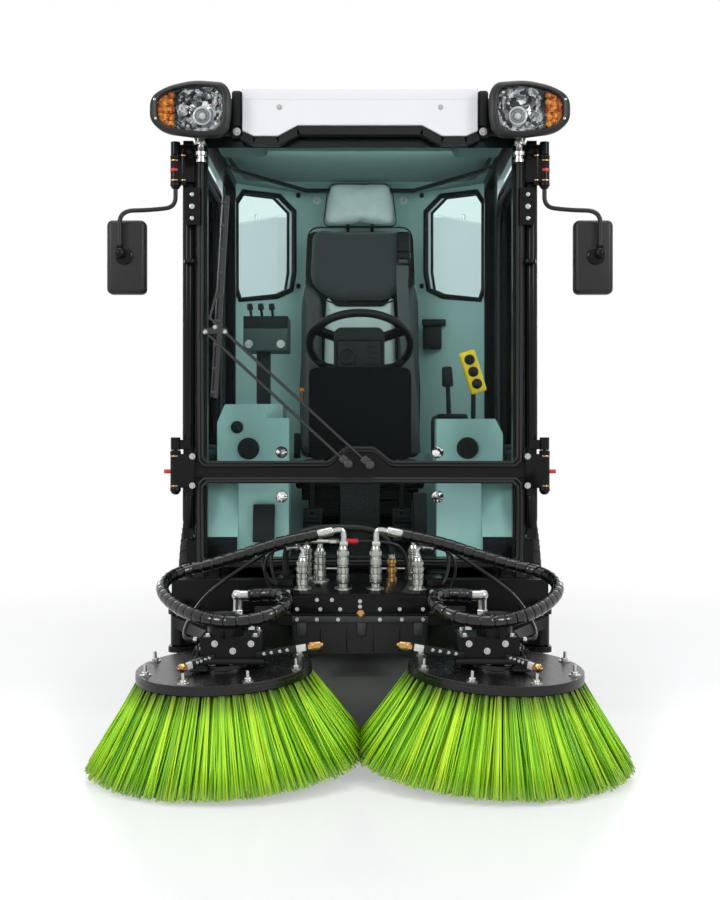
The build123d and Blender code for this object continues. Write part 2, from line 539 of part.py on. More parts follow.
WHEEL_TILT = 33
STEER_WHEEL = (0, 500, 1285)
wheel_normal = (0, sin(radians(WHEEL_TILT)), cos(radians(WHEEL_TILT)))
steering_plane = Plane(origin=STEER_WHEEL, x_dir=(1, 0, 0), z_dir=wheel_normal)
rim_ring = steering_plane * Torus(188, 15)
steering = rim_ring + steering_plane * Pos(0, 0, -18) * Cylinder(42, 36)
for angle in (90, 210, 330):
    steering += steering_plane * Rot(0, 0, angle) * Pos(105, 0, -8) * Box(150, 34, 10)
parts["steering_wheel"] = steering
shaft = bar((0, 452, 1200), tuple(Vector(*STEER_WHEEL) - steering_plane.z_dir * 42), 20)
parts["dash_column"] = parts["dash_column"] + shaft + block((-45, 45), (425, 470), (1150, 1215))

# ---- coupling box, hood and suction path -------------------------------------------------------------
BOX_HALF = 202
box_shape = prism_x([(-400, 394), (-400, 452), (-392, 458), (-150, 496), (-130, 496), (-130, 394)], -BOX_HALF, BOX_HALF)
PORTS = [
    (-52, -330, 463, 597), (48, -330, 463, 597), (-125, -250, 480, 585), (-177, -330, 463, 561),
    (-170, -200, 485, 591), (177, -330, 463, 561), (170, -200, 485, 591), (100, -240, 480, 560),
]
PORT_R = 19.5
for x, y, low, high in PORTS:
    box_shape += bar((x, y, low - 20), (x, y, high), PORT_R)
    box_shape += bar((x, y, low - 20), (x, y, low + 12), 25)
for low, high in ((-255, -206), (206, 255)):
    box_shape += block((low, high), (-330, -200), (394, 470))
box_shape += block((-256, 256), (-300, -200), (396, 440))
# Elbows and sleeves that the two motor hoses are crimped into.
for sign in (-1, 1):
    box_shape += bar((sign * 50, -330, 590), (sign * 50, -330, 649), 13)
    box_shape += Pos(sign * 50, -330, 649) * Sphere(18)
    box_shape += bar((sign * 50, -330, 649), (sign * 129.5, -338, 634.1), 16)
parts["coupling_box"] = box_shape

HOOD_HALF = 300
hood = prism_x([(-300, 60), (-300, 190), (-240, 235), (150, 235), (230, 150), (230, 30)], -HOOD_HALF, HOOD_HALF)
hood -= prism_x([(-292, 0), (-292, 186), (-236, 227), (146, 227), (222, 147), (222, 0)], -HOOD_HALF + 8, HOOD_HALF - 8)
DUCT_R = 85
DUCT_WALL = 6
hood += block((-HOOD_HALF, HOOD_HALF), (-300, -286), (18, 120))
hood += block((-HOOD_HALF, -HOOD_HALF + 14), (-300, 232), (18, 120))
hood += block((HOOD_HALF - 14, HOOD_HALF), (-300, 232), (18, 120))
hood += block((-HOOD_HALF, HOOD_HALF), (218, 232), (18, 120))
for sign in (-1, 1):
    hanger = sorted((sign * (RAIL_X - 20), sign * (RAIL_X + 20)))
    hood += block(hanger, (40, 80), (225, RAIL_LOW))
curtain = block((-BOX_HALF + 4, BOX_HALF - 4), (-403.5, -395.5), (279, 394))
for x in (-120, -40, 40, 120):
    curtain -= block((x - 1.5, x + 1.5), (-410, -380), (270, 350))
parts["front_curtain"] = curtain

DUCT_TOP = UPPER_RING[1] + 40
duct_path = [(0, 190, 140), (0, 420, 214), (0, PIVOT_Y, 214), (0, PIVOT_Y, DUCT_TOP)]
duct_turns = [200, 150]
duct = pipe(duct_path, DUCT_R, duct_turns)
duct_hole = pipe(duct_path, DUCT_R - DUCT_WALL, duct_turns)
parts["suction_duct"] = duct - duct_hole
parts["suction_hood"] = hood - duct
ENGINE_FRONT = PIVOT_Y + 310
ENGINE_BACK = ENGINE_FRONT + 400
ELBOW_Z = 1170
elbow_path = [(0, PIVOT_Y, DUCT_TOP + GAP), (0, PIVOT_Y, ELBOW_Z), (0, HOPPER_FRONT - GAP, ELBOW_Z)]
elbow = pipe(elbow_path, DUCT_R, [120]) - pipe(elbow_path, DUCT_R - DUCT_WALL, [120])
for low, high in ((-110, -70), (70, 110)):
    elbow += block((low, high), (PIVOT_Y - 15, ENGINE_FRONT), (860, 900))
elbow -= pipe(elbow_path, DUCT_R - DUCT_WALL, [120])
parts["suction_elbow"] = elbow

# ---- brush arms, discs and bristles ---------------------------------------------------------------
BRUSH_Z = 280
DISC_T = 28
brush_frame = Pos(BRUSH_X, BRUSH_Y, BRUSH_Z) * Rot(BRUSH_TILT_FORWARD, BRUSH_TILT_OUT, 0)
TUFTS = 24
TIP_DROP = 257
SHAFT_R = 20
disc = brush_frame * (
    Cylinder(DISC_R, DISC_T) + Pos(0, 0, DISC_T / 2 + 6) * Cylinder(70, 12)
) - brush_frame * Cylinder(SHAFT_R + RUNNING, 120)
parts["brush_disc_right"] = disc
ring = Pos(0, 0, -DISC_T / 2 - 6) * (Cylinder(DISC_R, 12) - Cylinder(DISC_R - 60, 14))
for i in range(TUFTS):
    turn = Rot(0, 0, 360 / TUFTS * i)
    root = Vector(DISC_R - 28, 0, -DISC_T / 2 - 4)
    tip = Vector(TIP_R - 34, 0, -TIP_DROP + 18)
    along = tip - root
    ring += turn * Solid.make_cone(24, 36, along.length, Plane(origin=root, z_dir=along))
ring -= Cylinder(DISC_R + 40, DISC_T)
parts["bristles_right"] = brush_frame * ring

MOTOR_PORT = (347, -632)
MOTOR_BLOCK_Z = (318, 378)
PORT_Z = 480
mount_head = block((270, 440), (-745, -600), MOTOR_BLOCK_Z)
mount_head += bar((BRUSH_X, BRUSH_Y, MOTOR_BLOCK_Z[1] - 5), (BRUSH_X, BRUSH_Y, 432), 46)
mount_head += brush_frame * Pos(0, 0, 20) * Cylinder(SHAFT_R, 68)
mount_head += bar((*MOTOR_PORT, MOTOR_BLOCK_Z[1] - 5), (*MOTOR_PORT, MOTOR_BLOCK_Z[1] + 30), 17)
mount_head += bar((*MOTOR_PORT, MOTOR_BLOCK_Z[1]), (*MOTOR_PORT, PORT_Z), 13)
mount_head += Pos(*MOTOR_PORT, PORT_Z) * Sphere(17)
mount_head += bar((*MOTOR_PORT, PORT_Z), (319, MOTOR_PORT[1], PORT_Z), 15)
mount_head += bar((438, -641, 355), (462, -641, 355), 9)
ARM_Z = (338, 372)
arm_dir = Vector(BRUSH_X - ARM_PIVOT_X, BRUSH_Y + 50 - ARM_PIVOT_Y, 0)
arm_side = Vector(-arm_dir.Y, arm_dir.X, 0).normalized() * 30
a0, a1 = Vector(ARM_PIVOT_X, ARM_PIVOT_Y, 0), Vector(BRUSH_X, BRUSH_Y + 50, 0)
arm = prism_z([tuple(p)[:2] for p in (a0 + arm_side, a1 + arm_side, a1 - arm_side, a0 - arm_side)], *ARM_Z)
arm += bar((ARM_PIVOT_X, ARM_PIVOT_Y, ARM_KNUCKLE[0]), (ARM_PIVOT_X, ARM_PIVOT_Y, ARM_KNUCKLE[1]), ARM_PIVOT_R)
arm -= bar((ARM_PIVOT_X, ARM_PIVOT_Y, ARM_KNUCKLE[0] - 30), (ARM_PIVOT_X, ARM_PIVOT_Y, ARM_KNUCKLE[1] + 30),
           ARM_PIN_R + RUNNING)
arm += mount_head
parts["brush_arm_right"] = arm
for name in ("brush_disc", "bristles", "brush_arm"):
    parts[f"{name}_left"] = mirrored(parts[f"{name}_right"])

# ---- rear frame -------------------------------------------------------------------------------------
REAR_RAIL_FRONT = PIVOT_Y + 250
REAR_RAIL_END = HOPPER_REAR + 10
TIP_Y = HOPPER_REAR - 10
TIP_Z = HOPPER_LOW - 30
TIP_BASE = (350, TIP_Y - 580, 420)
TIP_EYE = (350, TIP_Y - 440, HOPPER_LOW - 60)
rear_frame = ring_plate(UPPER_RING, SLEW_R, SLEEVE_OUT, REAR_RAIL_FRONT + 10, RAIL_X + RAIL_HALF)
rear_frame += ring_plate(LOWER_RING, SLEW_R, SLEEVE_OUT, REAR_RAIL_FRONT + 10, RAIL_X + RAIL_HALF)
POST_X = 300
for sign in (-1, 1):
    rail = sorted((sign * (RAIL_X - RAIL_HALF), sign * (RAIL_X + RAIL_HALF)))
    rear_frame += block(rail, (REAR_RAIL_FRONT, REAR_RAIL_END), (RAIL_LOW, UPPER_RING[1]))
    rear_frame += block(rail, (REAR_RAIL_FRONT, REAR_RAIL_FRONT + 40), (LOWER_RING[0], UPPER_RING[1]))
    post = sorted((sign * (POST_X - 40), sign * (POST_X + 5)))
    rear_frame += block(post, (TIP_Y - 45, TIP_Y + 20), (RAIL_HIGH, TIP_Z + 4))
    rear_frame += bar((post[0], TIP_Y, TIP_Z), (post[1], TIP_Y, TIP_Z), 22)
    rear_frame += bar((sign * (POST_X + 5), TIP_Y, TIP_Z), (sign * (POST_X + 75), TIP_Y, TIP_Z), 14)
    rear_frame += block(sorted((sign * (RAIL_X - 10), sign * (RAIL_X + 38))),
                        (TIP_BASE[1] - 25, TIP_BASE[1] + 25), (360, RAIL_HIGH))
    rear_frame += bar((sign * (RAIL_X + 20), *TIP_BASE[1:]), (sign * (TIP_BASE[0] + 22), *TIP_BASE[1:]), 14)
    # Hopper rest blocks near the front.
    rear_frame += block(sorted((sign * 225, sign * 280)), (REAR_RAIL_FRONT - 40, REAR_RAIL_FRONT),
                        (UPPER_RING[0], HOPPER_LOW - 8))
rail_gap = (-(RAIL_X - RAIL_HALF), RAIL_X - RAIL_HALF)
for beam_y in (REAR_AXLE_Y - 100, REAR_AXLE_Y + 340):
    rear_frame += block(rail_gap, (beam_y, beam_y + 50), (RAIL_LOW + 10, RAIL_HIGH))
rear_frame += block((-CAB_HALF + 20, CAB_HALF - 20), (REAR_RAIL_END - 50, REAR_RAIL_END + 2), (400, 505))
# Tow hitch: a jaw of two plates behind the rear beam.
HITCH_HALF = 45
HITCH_PIN_R = 12.5
HITCH_PIN_Y = HITCH_END_Y - 35
for levels in ((420, 436), (476, 492)):
    rear_frame += block((-HITCH_HALF, HITCH_HALF), (REAR_RAIL_END, HITCH_END_Y), levels)
rear_frame += block((-HITCH_HALF, HITCH_HALF), (REAR_RAIL_END, REAR_RAIL_END + 16), (420, 492))
rear_frame -= bar((0, HITCH_PIN_Y, 400), (0, HITCH_PIN_Y, 520), HITCH_PIN_R)
# Four bolt holes through the rear beam, beside the jaw.
BOLT_HALF = (80, 25)
BOLT_R = 6.5
HITCH_Z = 456
for x in (-BOLT_HALF[0], BOLT_HALF[0]):
    for z in (HITCH_Z - BOLT_HALF[1], HITCH_Z + BOLT_HALF[1]):
        rear_frame -= bar((x, REAR_RAIL_END - 60, z), (x, REAR_RAIL_END + 10, z), BOLT_R)
rear_frame += block((STEER_X - 30, STEER_X + 30), (steer_end[1] - 30, steer_end[1] + 40), (lug_low + 3, RAIL_LOW))
# Mudguards over the rear wheels.
GUARD_IN = 440
GUARD_OUT = 665
GUARD_R = TYRE_R + 48
GUARD_T = 8
guard = None
for sign in (-1, 1):
    span = sorted((sign * GUARD_IN, sign * GUARD_OUT))
    shell = bar((span[0], REAR_AXLE_Y, TYRE_R), (span[1], REAR_AXLE_Y, TYRE_R), GUARD_R + GUARD_T)
    shell -= bar((span[0] - 1, REAR_AXLE_Y, TYRE_R), (span[1] + 1, REAR_AXLE_Y, TYRE_R), GUARD_R)
    shell -= block((span[0] - 1, span[1] + 1), (REAR_AXLE_Y - 500, REAR_AXLE_Y + 500), (-100, TYRE_R + 215))
    shell += block(sorted((sign * (RAIL_X + 10), sign * (GUARD_IN + 4))), (REAR_AXLE_Y - 20, REAR_AXLE_Y + 20),
                   (TYRE_R + GUARD_R - 12, TYRE_R + GUARD_R + GUARD_T))
    shell += block(sorted((sign * (RAIL_X + 10), sign * (RAIL_X + 26))), (REAR_AXLE_Y - 20, REAR_AXLE_Y + 20),
                   (UPPER_RING[1], TYRE_R + GUARD_R))
    rear_frame += shell
parts["rear_frame"] = rear_frame

parts["engine_block"] = block((-215, 215), (ENGINE_FRONT, ENGINE_BACK), (505, 915))
parts["engine_block"] += block((-240, 240), (ENGINE_FRONT + 40, ENGINE_BACK - 60), (520, 560))
COWL = (REAR_RAIL_END - 360, REAR_RAIL_END - 110)
cowl = block((-CAB_HALF + 30, CAB_HALF - 30), COWL, (UPPER_RING[1], 905))
cowl = fillet(cowl.edges().filter_by(Axis.Z), 40)
cowl -= block((-CAB_HALF + 60, CAB_HALF - 60), (COWL[0] - 1, COWL[1] - 40), (UPPER_RING[1] - 1, 875))
for z in range(570, 860, 40):
    cowl -= block((-400, 400), (COWL[1] - 14, COWL[1] + 1), (z, z + 22))
parts["engine_cowl"] = cowl
tank = round_block((RAIL_X + RAIL_HALF, CAB_HALF - 15), (REAR_RAIL_FRONT - 60, REAR_RAIL_FRONT + 180), (450, 905), 30)
parts["side_tanks"] = both(tank)
REAR_LAMP = round_block((430, 540), (REAR_RAIL_END + 2, REAR_RAIL_END + 32), (412, 494), 12, Axis.Y)
parts["rear_lamps"] = both(REAR_LAMP)

# ---- hopper and tailgate ------------------------------------------------------------------------------
SHELL = 24
CHAMFER = 200
plan = [
    (-HOPPER_HALF, HOPPER_REAR), (-HOPPER_HALF, HOPPER_FRONT + CHAMFER), (-HOPPER_HALF + CHAMFER, HOPPER_FRONT),
    (HOPPER_HALF - CHAMFER, HOPPER_FRONT), (HOPPER_HALF, HOPPER_FRONT + CHAMFER), (HOPPER_HALF, HOPPER_REAR),
]
t = SHELL
inner_plan = [
    (-HOPPER_HALF + t, HOPPER_REAR + 1), (-HOPPER_HALF + t, HOPPER_FRONT + CHAMFER + t * 0.41),
    (-HOPPER_HALF + CHAMFER + t * 0.41, HOPPER_FRONT + t), (HOPPER_HALF - CHAMFER - t * 0.41, HOPPER_FRONT + t),
    (HOPPER_HALF - t, HOPPER_FRONT + CHAMFER + t * 0.41), (HOPPER_HALF - t, HOPPER_REAR + 1),
]
hopper = prism_z(plan, HOPPER_LOW, HOPPER_HIGH)
hopper = fillet(hopper.faces().sort_by(Axis.Z)[-1].edges(), 20)
hopper -= prism_z(inner_plan, HOPPER_LOW + t, HOPPER_HIGH - t)
hopper -= bar((0, HOPPER_FRONT - 10, ELBOW_Z), (0, HOPPER_FRONT + 60, ELBOW_Z), DUCT_R - DUCT_WALL)
GATE_Y = HOPPER_REAR + GAP
GATE_T = 34
GATE_HINGE = (GATE_Y + 30, 1962)
for sign in (-1, 1):
    ear = sorted((sign * (POST_X + 12), sign * (POST_X + 42)))
    hopper += block(ear, (TIP_Y - 60, TIP_Y + 8), (TIP_Z, HOPPER_LOW + 2))
    hopper += bar((ear[0], TIP_Y, TIP_Z), (ear[1], TIP_Y, TIP_Z), 22)
    hopper -= bar((ear[0] - 1, TIP_Y, TIP_Z), (ear[1] + 1, TIP_Y, TIP_Z), 14 + RUNNING)
    for inner_x in (240, 316):
        lug = sorted((sign * inner_x, sign * (inner_x + 20)))
        hopper += block(lug, (HOPPER_REAR - 30, GATE_HINGE[0]), (GATE_HINGE[1] - 14, GATE_HINGE[1] + 14))
        hopper += bar((lug[0], *GATE_HINGE), (lug[1], *GATE_HINGE), 18)
    hopper += bar((sign * 250, *GATE_HINGE), (sign * 326, *GATE_HINGE), 8)
    eye = sorted((sign * (TIP_EYE[0] + 24), sign * (TIP_EYE[0] + 40)))
    hopper += block(eye, (TIP_EYE[1] - 30, TIP_EYE[1] + 30), (TIP_EYE[2] - 24, HOPPER_LOW + 2))
parts["hopper"] = hopper

gate = block((-HOPPER_HALF, HOPPER_HALF), (GATE_Y, GATE_Y + GATE_T), (HOPPER_LOW + 2, 1930))
gate = fillet(gate.faces().sort_by(Axis.Y)[-1].edges(), 14)
for sign in (-1, 1):
    arm_x = sorted((sign * 263, sign * 313))
    gate += block(arm_x, (GATE_Y + 8, GATE_Y + GATE_T), (1900, GATE_HINGE[1]))
    gate += bar((arm_x[0], *GATE_HINGE), (arm_x[1], *GATE_HINGE), 18)
    gate -= bar((arm_x[0] - 1, *GATE_HINGE), (arm_x[1] + 1, *GATE_HINGE), 8 + RUNNING)
gate += block((-90, 90), (GATE_Y + GATE_T - 2, GATE_Y + GATE_T + 30), (1060, 1084))
parts["tailgate"] = gate

# ---- tipping cylinders -----------------------------------------------------------------------------
base, eye = Vector(*TIP_BASE), Vector(*TIP_EYE)
line = (eye - base).normalized()
tip_barrel = bar(tuple(base + line * 16), tuple(base + line * 410), 30)
tip_barrel += bar(tuple(base - Vector(18, 0, 0)), tuple(base + Vector(18, 0, 0)), 30)
tip_barrel -= bar(tuple(base - Vector(60, 0, 0)), tuple(base + Vector(60, 0, 0)), 14 + RUNNING)
tip_barrel -= bar(tuple(base + line * 60), tuple(base + line * 411), 18 + RUNNING)
tip_rod = bar(tuple(base + line * 75), tuple(eye - line * 16), 18)
tip_rod += bar(tuple(eye - Vector(18, 0, 0)), tuple(eye + Vector(18, 0, 0)), 22)
parts["tip_barrels"] = both(tip_barrel)
parts["tip_rods"] = both(tip_rod)

# ---- hydraulic hoses --------------------------------------------------------------------------------
HOSE_R = 18.5
THIN_R = 6
LEFT_LOOP = [
    (-130, -338, 634), (-245, -352, 612), (-349, -380, 577), (-455, -398, 545), (-540, -430, 528), (-578, -500, 508),
    (-570, -590, 484), (-522, -680, 458), (-455, -765, 440), (-375, -815, 428), (-300, -822, 432), (-235, -795, 448),
    (-200, -742, 470), (-212, -680, 486), (-262, -638, 486), (-315, -632, 480),
]
main_loop = pipe(LEFT_LOOP, HOSE_R)
print("main hose radii", [round(r) for r in route_radii(LEFT_LOOP)])
parts["hose_left"] = main_loop
parts["hose_right"] = mirrored(main_loop)
LEFT_RETURN = [
    (-177, -330, 562), (-177.5, -329, 586), (-192, -308, 606), (-226, -276, 608), (-268, -258, 588), (-318, -250, 556),
    (-372, -252, 521),
    (-425, -268, 486), (-462, -310, 456), (-482, -370, 434), (-494, -440, 414), (-502, -510, 394), (-506, -570, 376),
    (-503, -612, 362), (-489, -637, 356), (-463.5, -641, 355),
]
thin = pipe(LEFT_RETURN, THIN_R)
print("thin hose radii", [round(r) for r in route_radii(LEFT_RETURN)])
parts["hose_thin_left"] = thin
parts["hose_thin_right"] = mirrored(thin)
CROSS_HOSE_R = 10
CROSS_HOSE = [
    (-230, -215, 472.5), (-238, -214, 530), (-232, -222, 590), (-196, -240, 632), (-130, -256, 650), (-50, -262, 650),
    (20, -262, 648), (72, -254, 626), (97, -243, 592), (100, -240, 562.5),
]
parts["hose_cross"] = pipe(CROSS_HOSE, CROSS_HOSE_R)
print("cross hose radii", [round(r) for r in route_radii(CROSS_HOSE)])

# ---- everything is moved to the frame on the ground under the middle of the machine ------------------
MIDDLE_Y = round((parts["bristles_left"].bounding_box().min.Y + HITCH_END_Y) / 2, 1)
os.makedirs("parts", exist_ok=True)
total = None
for name, shape in parts.items():
    moved = Pos(0, -MIDDLE_Y, 0) * flat(shape)
    export_step(moved, f"parts/{name}.step")
    box = moved.bounding_box()
    total = box if total is None else total.add(box)
print("middle", MIDDLE_Y, "box", total)
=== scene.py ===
import bpy
import bmesh
import json
import random
from math import cos, pi, radians, sin
from mathutils import Matrix, Vector

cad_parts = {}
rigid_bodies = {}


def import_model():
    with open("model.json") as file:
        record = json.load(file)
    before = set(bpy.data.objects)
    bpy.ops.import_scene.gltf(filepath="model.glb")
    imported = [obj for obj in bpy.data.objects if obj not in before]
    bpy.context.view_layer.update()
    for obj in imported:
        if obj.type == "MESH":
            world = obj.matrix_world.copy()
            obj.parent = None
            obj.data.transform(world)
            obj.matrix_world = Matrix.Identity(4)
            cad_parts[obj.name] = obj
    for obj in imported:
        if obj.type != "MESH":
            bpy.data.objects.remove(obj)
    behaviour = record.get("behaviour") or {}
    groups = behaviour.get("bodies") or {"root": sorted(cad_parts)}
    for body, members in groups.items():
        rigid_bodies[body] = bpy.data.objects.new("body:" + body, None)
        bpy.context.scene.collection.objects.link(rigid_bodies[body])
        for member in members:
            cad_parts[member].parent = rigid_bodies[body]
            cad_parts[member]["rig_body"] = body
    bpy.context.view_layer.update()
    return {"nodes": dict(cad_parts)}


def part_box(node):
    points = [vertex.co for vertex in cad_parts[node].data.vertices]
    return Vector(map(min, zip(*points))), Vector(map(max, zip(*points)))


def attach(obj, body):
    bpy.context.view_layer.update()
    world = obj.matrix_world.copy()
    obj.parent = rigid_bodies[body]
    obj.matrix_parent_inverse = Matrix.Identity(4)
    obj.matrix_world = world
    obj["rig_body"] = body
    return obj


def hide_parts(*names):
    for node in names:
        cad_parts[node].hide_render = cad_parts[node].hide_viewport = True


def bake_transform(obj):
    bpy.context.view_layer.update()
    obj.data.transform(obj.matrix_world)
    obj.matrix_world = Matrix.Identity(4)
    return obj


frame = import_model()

# ---- Place, camera, floor and light --------------------------------------------------------------
# Sizes are written in millimetres from the windscreen's outer plane, as the machine is drawn:
# x across, y back from the windscreen, z up from the ground. at() turns them into the frame's metres.
GLASS_PROUD = 10
SCREEN_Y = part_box("cab_glass")[0][1] + GLASS_PROUD / 1000


def at(x, y, z):
    return Vector((x / 1000, SCREEN_Y + y / 1000, z / 1000))


def shown(name, data):
    """A new object in the scene that holds a mesh or a curve."""
    piece = bpy.data.objects.new(name, data)
    bpy.context.scene.collection.objects.link(piece)
    return piece


CAMERA_BACK = 4250
CAMERA_HIGH = 893
LENS = 50.96
camera_data = bpy.data.cameras.new("camera")
camera_data.lens = LENS
camera_data.sensor_width = 36
camera = bpy.data.objects.new("camera", camera_data)
camera.location = at(0, -CAMERA_BACK, CAMERA_HIGH)
camera.rotation_euler = (radians(90), 0, 0)
bpy.context.scene.collection.objects.link(camera)
bpy.context.scene.camera = camera

FLOOR_GREY = 0.93
floor_paint = bpy.data.materials.new("studio_floor")
floor_paint.use_nodes = True
nodes, links = floor_paint.node_tree.nodes, floor_paint.node_tree.links
gloss = nodes["Principled BSDF"]
gloss.inputs["Base Color"].default_value = (FLOOR_GREY, FLOOR_GREY, FLOOR_GREY * 1.01, 1)
gloss.inputs["Roughness"].default_value = 0.2
gloss.inputs["Specular IOR Level"].default_value = 0.35
white = nodes.new("ShaderNodeEmission")
white.inputs["Color"].default_value = (1, 1, 1, 1)
rays = nodes.new("ShaderNodeLightPath")
far = nodes.new("ShaderNodeTexCoord")
reach = nodes.new("ShaderNodeVectorMath")
reach.operation = "LENGTH"
fade = nodes.new("ShaderNodeMapRange")
fade.inputs["From Min"].default_value = 2.6
fade.inputs["From Max"].default_value = 4.6
blend_floor = nodes.new("ShaderNodeMixShader")
clean = nodes.new("ShaderNodeMath")
clean.operation = "MULTIPLY_ADD"
clean.inputs[1].default_value = 0.42
clean.use_clamp = True
looked_at = nodes.new("ShaderNodeMath")
looked_at.operation = "MAXIMUM"
whiten = nodes.new("ShaderNodeMath")
whiten.operation = "MULTIPLY"
links.new(far.outputs["Object"], reach.inputs[0])
links.new(reach.outputs["Value"], fade.inputs["Value"])
links.new(rays.outputs["Is Camera Ray"], clean.inputs[0])
links.new(fade.outputs["Result"], clean.inputs[2])
links.new(rays.outputs["Is Camera Ray"], looked_at.inputs[0])
links.new(rays.outputs["Is Glossy Ray"], looked_at.inputs[1])
links.new(clean.outputs["Value"], whiten.inputs[0])
links.new(looked_at.outputs["Value"], whiten.inputs[1])
links.new(whiten.outputs["Value"], blend_floor.inputs["Fac"])
links.new(gloss.outputs["BSDF"], blend_floor.inputs[1])
links.new(white.outputs["Emission"], blend_floor.inputs[2])
links.new(blend_floor.outputs["Shader"], nodes["Material Output"].inputs["Surface"])
floor_mesh = bpy.data.meshes.new("floor")
sheet = bmesh.new()
bmesh.ops.create_grid(sheet, x_segments=1, y_segments=1, size=40)
sheet.to_mesh(floor_mesh)
sheet.free()
floor_mesh.materials.append(floor_paint)
floor = shown("floor", floor_mesh)

world = bpy.data.worlds.new("studio")
world.use_nodes = True
bpy.context.scene.world = world
nodes, links = world.node_tree.nodes, world.node_tree.links
soft = nodes["Background"]
soft.inputs["Color"].default_value = (0.93, 0.96, 1, 1)
soft.inputs["Strength"].default_value = 0.40
bright = nodes.new("ShaderNodeBackground")
bright.inputs["Color"].default_value = (1, 1, 1, 1)
bright.inputs["Strength"].default_value = 1.0
rays = nodes.new("ShaderNodeLightPath")
seen = nodes.new("ShaderNodeMath")
seen.operation = "MAXIMUM"
through = nodes.new("ShaderNodeMath")
through.operation = "MAXIMUM"
backdrop = nodes.new("ShaderNodeMixShader")
links.new(rays.outputs["Is Camera Ray"], seen.inputs[0])
links.new(rays.outputs["Is Glossy Ray"], seen.inputs[1])
links.new(seen.outputs["Value"], through.inputs[0])
links.new(rays.outputs["Is Transmission Ray"], through.inputs[1])
links.new(through.outputs["Value"], backdrop.inputs["Fac"])
links.new(soft.outputs["Background"], backdrop.inputs[1])
links.new(bright.outputs["Background"], backdrop.inputs[2])
links.new(backdrop.outputs["Shader"], nodes["World Output"].inputs["Surface"])
bpy.context.scene.view_settings.view_transform = "Standard"

# name, place, aimed at, width, height, watts
SOFT_BOXES = [
    ("key_left", (-3600, -3300, 3200), (0, -200, 900), 1.0, 1.8, 84),
    ("key_right", (3600, -3300, 3200), (0, -200, 900), 1.0, 1.8, 84),
    ("top", (0, 200, 5200), (0, 600, 0), 3.6, 3.6, 105),
    ("low_front", (0, -4600, 1500), (0, -500, 600), 3.0, 0.8, 26),
    ("cab_fill", (0, 330, 1930), (0, 1000, 1200), 0.7, 0.3, 6),
    ("console_fill_left", (-370, 70, 600), (-380, 600, 560), 0.3, 0.2, 0.19),
    ("console_fill_right", (370, 70, 600), (380, 600, 560), 0.3, 0.2, 0.19),
    ("back_left", (-3000, 5200, 2600), (0, 1800, 900), 2.0, 2.0, 52),
    ("back_right", (3000, 5200, 2600), (0, 1800, 900), 2.0, 2.0, 52),
]
for name, place, aim, wide, high, watts in SOFT_BOXES:
    lamp_data = bpy.data.lights.new(name, "AREA")
    lamp_data.shape = "RECTANGLE"
    lamp_data.size = wide
    lamp_data.size_y = high
    lamp_data.energy = watts
    lamp = bpy.data.objects.new(name, lamp_data)
    lamp.location = at(*place)
    lamp.visible_glossy = name not in ("low_front", "cab_fill", "console_fill_left", "console_fill_right")
    lamp.rotation_euler = (at(*aim) - at(*place)).to_track_quat("-Z", "Y").to_euler()
    bpy.context.scene.collection.objects.link(lamp)

# ---- Frames, axles and the powder coat they share ------------------------------------------------
# The two welded steel frames, the axles and the slewing rings, all in satin black powder coat with a
# faint orange-peel skin. Each keeps the shape that the frame gives it, with its edges broken.


def powder_coat(name, colour, rough, metallic=0.0, mottle=0.12, patch=9.0, peel=0.05, peel_size=420, coat=0.0,
                shine=0.5):
    """A painted, cast or moulded surface: cloudy colour, uneven gloss and a fine skin."""
    finish = bpy.data.materials.new(name)
    finish.use_nodes = True
    nodes, links = finish.node_tree.nodes, finish.node_tree.links
    shader = nodes["Principled BSDF"]
    shader.inputs["Metallic"].default_value = metallic
    shader.inputs["Coat Weight"].default_value = coat
    shader.inputs["Specular IOR Level"].default_value = shine
    place = nodes.new("ShaderNodeTexCoord")
    cloud = nodes.new("ShaderNodeTexNoise")
    cloud.inputs["Scale"].default_value = patch
    cloud.inputs["Detail"].default_value = 6
    tint = nodes.new("ShaderNodeMix")
    tint.data_type = "RGBA"
    tint.inputs[6].default_value = [*(c * (1 - mottle) for c in colour), 1]
    tint.inputs[7].default_value = [*(min(1, c * (1 + mottle)) for c in colour), 1]
    smear = nodes.new("ShaderNodeTexNoise")
    smear.inputs["Scale"].default_value = patch * 3.7
    smear.inputs["Detail"].default_value = 4
    gloss = nodes.new("ShaderNodeMapRange")
    gloss.inputs["To Min"].default_value = rough * 0.8
    gloss.inputs["To Max"].default_value = min(1, rough * 1.25)
    skin = nodes.new("ShaderNodeTexNoise")
    skin.inputs["Scale"].default_value = peel_size
    skin.inputs["Detail"].default_value = 2
    bump = nodes.new("ShaderNodeBump")
    bump.inputs["Strength"].default_value = peel
    bump.inputs["Distance"].default_value = 0.001
    for texture in (cloud, smear, skin):
        links.new(place.outputs["Object"], texture.inputs["Vector"])
    links.new(cloud.outputs["Fac"], tint.inputs[0])
    links.new(tint.outputs[2], shader.inputs["Base Color"])
    links.new(smear.outputs["Fac"], gloss.inputs["Value"])
    links.new(gloss.outputs["Result"], shader.inputs["Roughness"])
    links.new(skin.outputs["Fac"], bump.inputs["Height"])
    links.new(bump.outputs["Normal"], shader.inputs["Normal"])
    return finish


def close_up(mesh, angle=35):
    """Smooth shading with the real edges kept sharp."""
    mesh.shade_smooth()
    mesh.set_sharp_from_angle(angle=radians(angle))


